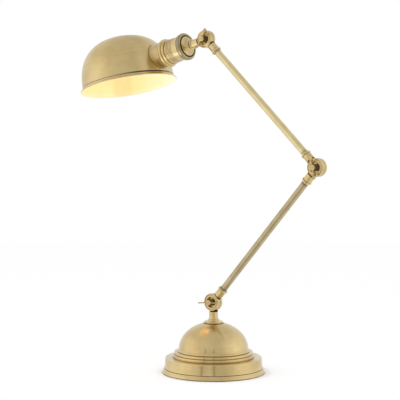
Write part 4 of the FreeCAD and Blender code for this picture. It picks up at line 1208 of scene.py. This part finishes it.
def makeFloor():       # its own shade and shadow near the lamp, fading to white where it is seen
    shape = bmesh.new()
    bmesh.ops.create_circle(shape, cap_ends=True, segments=studio["segments"],
                            radius=studio["floor"])
    floor, tree = stagePiece("floor", shape)
    where = addNode(tree, "ShaderNodeTexCoord").outputs["Object"]
    away = vectorMaths(tree, "LENGTH", where)
    plain = addNode(tree, "ShaderNodeBsdfDiffuse", {"Color": studio["floorColour"]}).outputs[0]
    rings = studio["rings"]
    whiteness = rings[0][1]
    for (start, before), (end, after) in zip(rings, rings[1:]):
        whiteness = plus(tree, rescaled(tree, away, start, end, 0.0, after - before), whiteness)
    share = times(tree, whiteRays(tree), whiteness)
    inputs = {0: share, 1: plain, 2: glowing(tree, 1.0)}
    mixed = addNode(tree, "ShaderNodeMixShader", inputs).outputs[0]
    addNode(tree, "ShaderNodeOutputMaterial", {"Surface": mixed})


def onlyReflected(name, shape):
    piece, tree = stagePiece(name, shape)
    piece.visible_camera = piece.visible_diffuse = False
    piece.visible_shadow = piece.visible_transmission = False
    return tree


# Brightest to the lamp's left and right, darkest round the camera and dimmer behind the lamp
def cardPiece(name, shape, edges):
    card = studio["card"]
    tree = onlyReflected(name, shape)
    where = addNode(tree, "ShaderNodeTexCoord").outputs["Object"]
    level = vectorMaths(tree, "NORMALIZE", vectorMaths(tree, "MULTIPLY", where, (1, 1, 0)))
    unit = vectorMaths(tree, "NORMALIZE", where)
    up = vectorMaths(tree, "DOT_PRODUCT", unit, (0, 0, 1))
    facing = vectorMaths(tree, "DOT_PRODUCT", level, azimuthWay(view["azimuth"]))
    dipWay = azimuthWay(view["azimuth"] + card["dipTurn"])
    dip = vectorMaths(tree, "DOT_PRODUCT", level, dipWay)
    side = plus(tree, rescaled(tree, facing, *edges[:2]),
                rescaled(tree, facing, *edges[2:], 0.0, card["back"]))
    side = times(tree, side, rescaled(tree, up, *card["topRange"], card["side"], 0.0))
    strength = plus(tree, side, rescaled(tree, dip, *card["dipRange"], 0.0, -card["dip"]))
    top = rescaled(tree, up, *card["topRange"], card["grey"], card["grey"] + card["top"])
    grey = glowing(tree, plus(tree, strength, top))
    addNode(tree, "ShaderNodeOutputMaterial", {"Surface": grey})


def makeCard():
    card = studio["card"]
    shape = bmesh.new()
    bmesh.ops.create_uvsphere(shape, u_segments=card["meridians"], v_segments=card["parallels"],
                              radius=card["radius"])
    lower = [face for face in shape.faces if face.calc_center_median().z < 0]
    bmesh.ops.delete(shape, geom=lower, context="FACES")
    cardPiece("card", shape, card["far"])
    shape = bmesh.new()
    bmesh.ops.create_circle(shape, cap_ends=True, segments=studio["segments"],
                            radius=card["radius"],
                            matrix=Matrix.Translation((0, 0, card["lift"])))
    cardPiece("floor_card", shape, card["near"])


def makeStands():       # dark posts and their feet on the floor, seen as fine lines in the drum
    stands = studio["stands"]
    radius, height, distance, foot = pick(stands, "radius height distance foot")
    squash = Matrix.Diagonal((1, stands["flatness"], 1, 1))
    shape = bmesh.new()
    for azimuth in stands["azimuths"]:
        start = azimuthWay((azimuth + view["azimuth"]) / 2) * foot
        way = azimuthWay(azimuth)
        middle = start + way * distance + Vector((0, 0, height / 2))
        lying = start + way * distance / 2 + Vector((0, 0, stands["lift"]))
        along = way.to_track_quat("-Z", "Y").to_matrix().to_4x4()
        for tip, length, place in (
                (radius, height, Matrix.Translation(middle)),
                (stands["tip"], distance, Matrix.Translation(lying) @ along @ squash)):
            bmesh.ops.create_cone(shape, cap_ends=True, segments=stands["segments"],
                                  radius1=radius, radius2=tip, depth=length, matrix=place)
    tree = onlyReflected("stands", shape)
    grey = glowing(tree, stands["grey"])
    addNode(tree, "ShaderNodeOutputMaterial", {"Surface": grey})


def makeLamp(name):
    lamp = studio[name]
    light = bpy.data.lights.new(name, "AREA")
    light.shape = "DISK"
    light.size = lamp["size"]
    light.energy = lamp["power"]
    stand = bpy.data.objects.new(name, light)
    stand.location = lamp["place"]
    way = Vector(lamp["aim"]) - Vector(lamp["place"])
    stand.rotation_euler = way.to_track_quat("-Z", "Y").to_euler()
    stand.visible_camera = False
    stand.visible_glossy = "receivers" in lamp
    if "receivers" in lamp:       # lights these pieces alone
        receivers = bpy.data.collections.new(name + "_receivers")
        for piece in bpy.context.scene.objects:
            if piece.name.startswith(lamp["receivers"]):
                receivers.objects.link(piece)
        stand.light_linking.receiver_collection = receivers
    bpy.context.scene.collection.objects.link(stand)


def makeCamera():
    camera = bpy.data.objects.new("camera", bpy.data.cameras.new("camera"))
    turn = math.radians(view["azimuth"])
    distance = view["distance"]
    camera.location = (distance * math.sin(turn), -distance * math.cos(turn), view["height"])
    pitch, yaw = math.radians(view["pitch"]), math.radians(view["yaw"])
    camera.rotation_euler = (quarterTurn - pitch, 0, turn + yaw)
    camera.data.lens = view["lens"]
    camera.data.clip_end = view["clipEnd"]
    bpy.context.scene.collection.objects.link(camera)
    bpy.context.scene.camera = camera


makeWorld()
makeFloor()
makeCard()
makeStands()
for lampName in ("key", "fill", "top", "low"):
    makeLamp(lampName)
makeCamera()
bpy.context.scene.view_settings.view_transform = "Standard"
print("studio done")
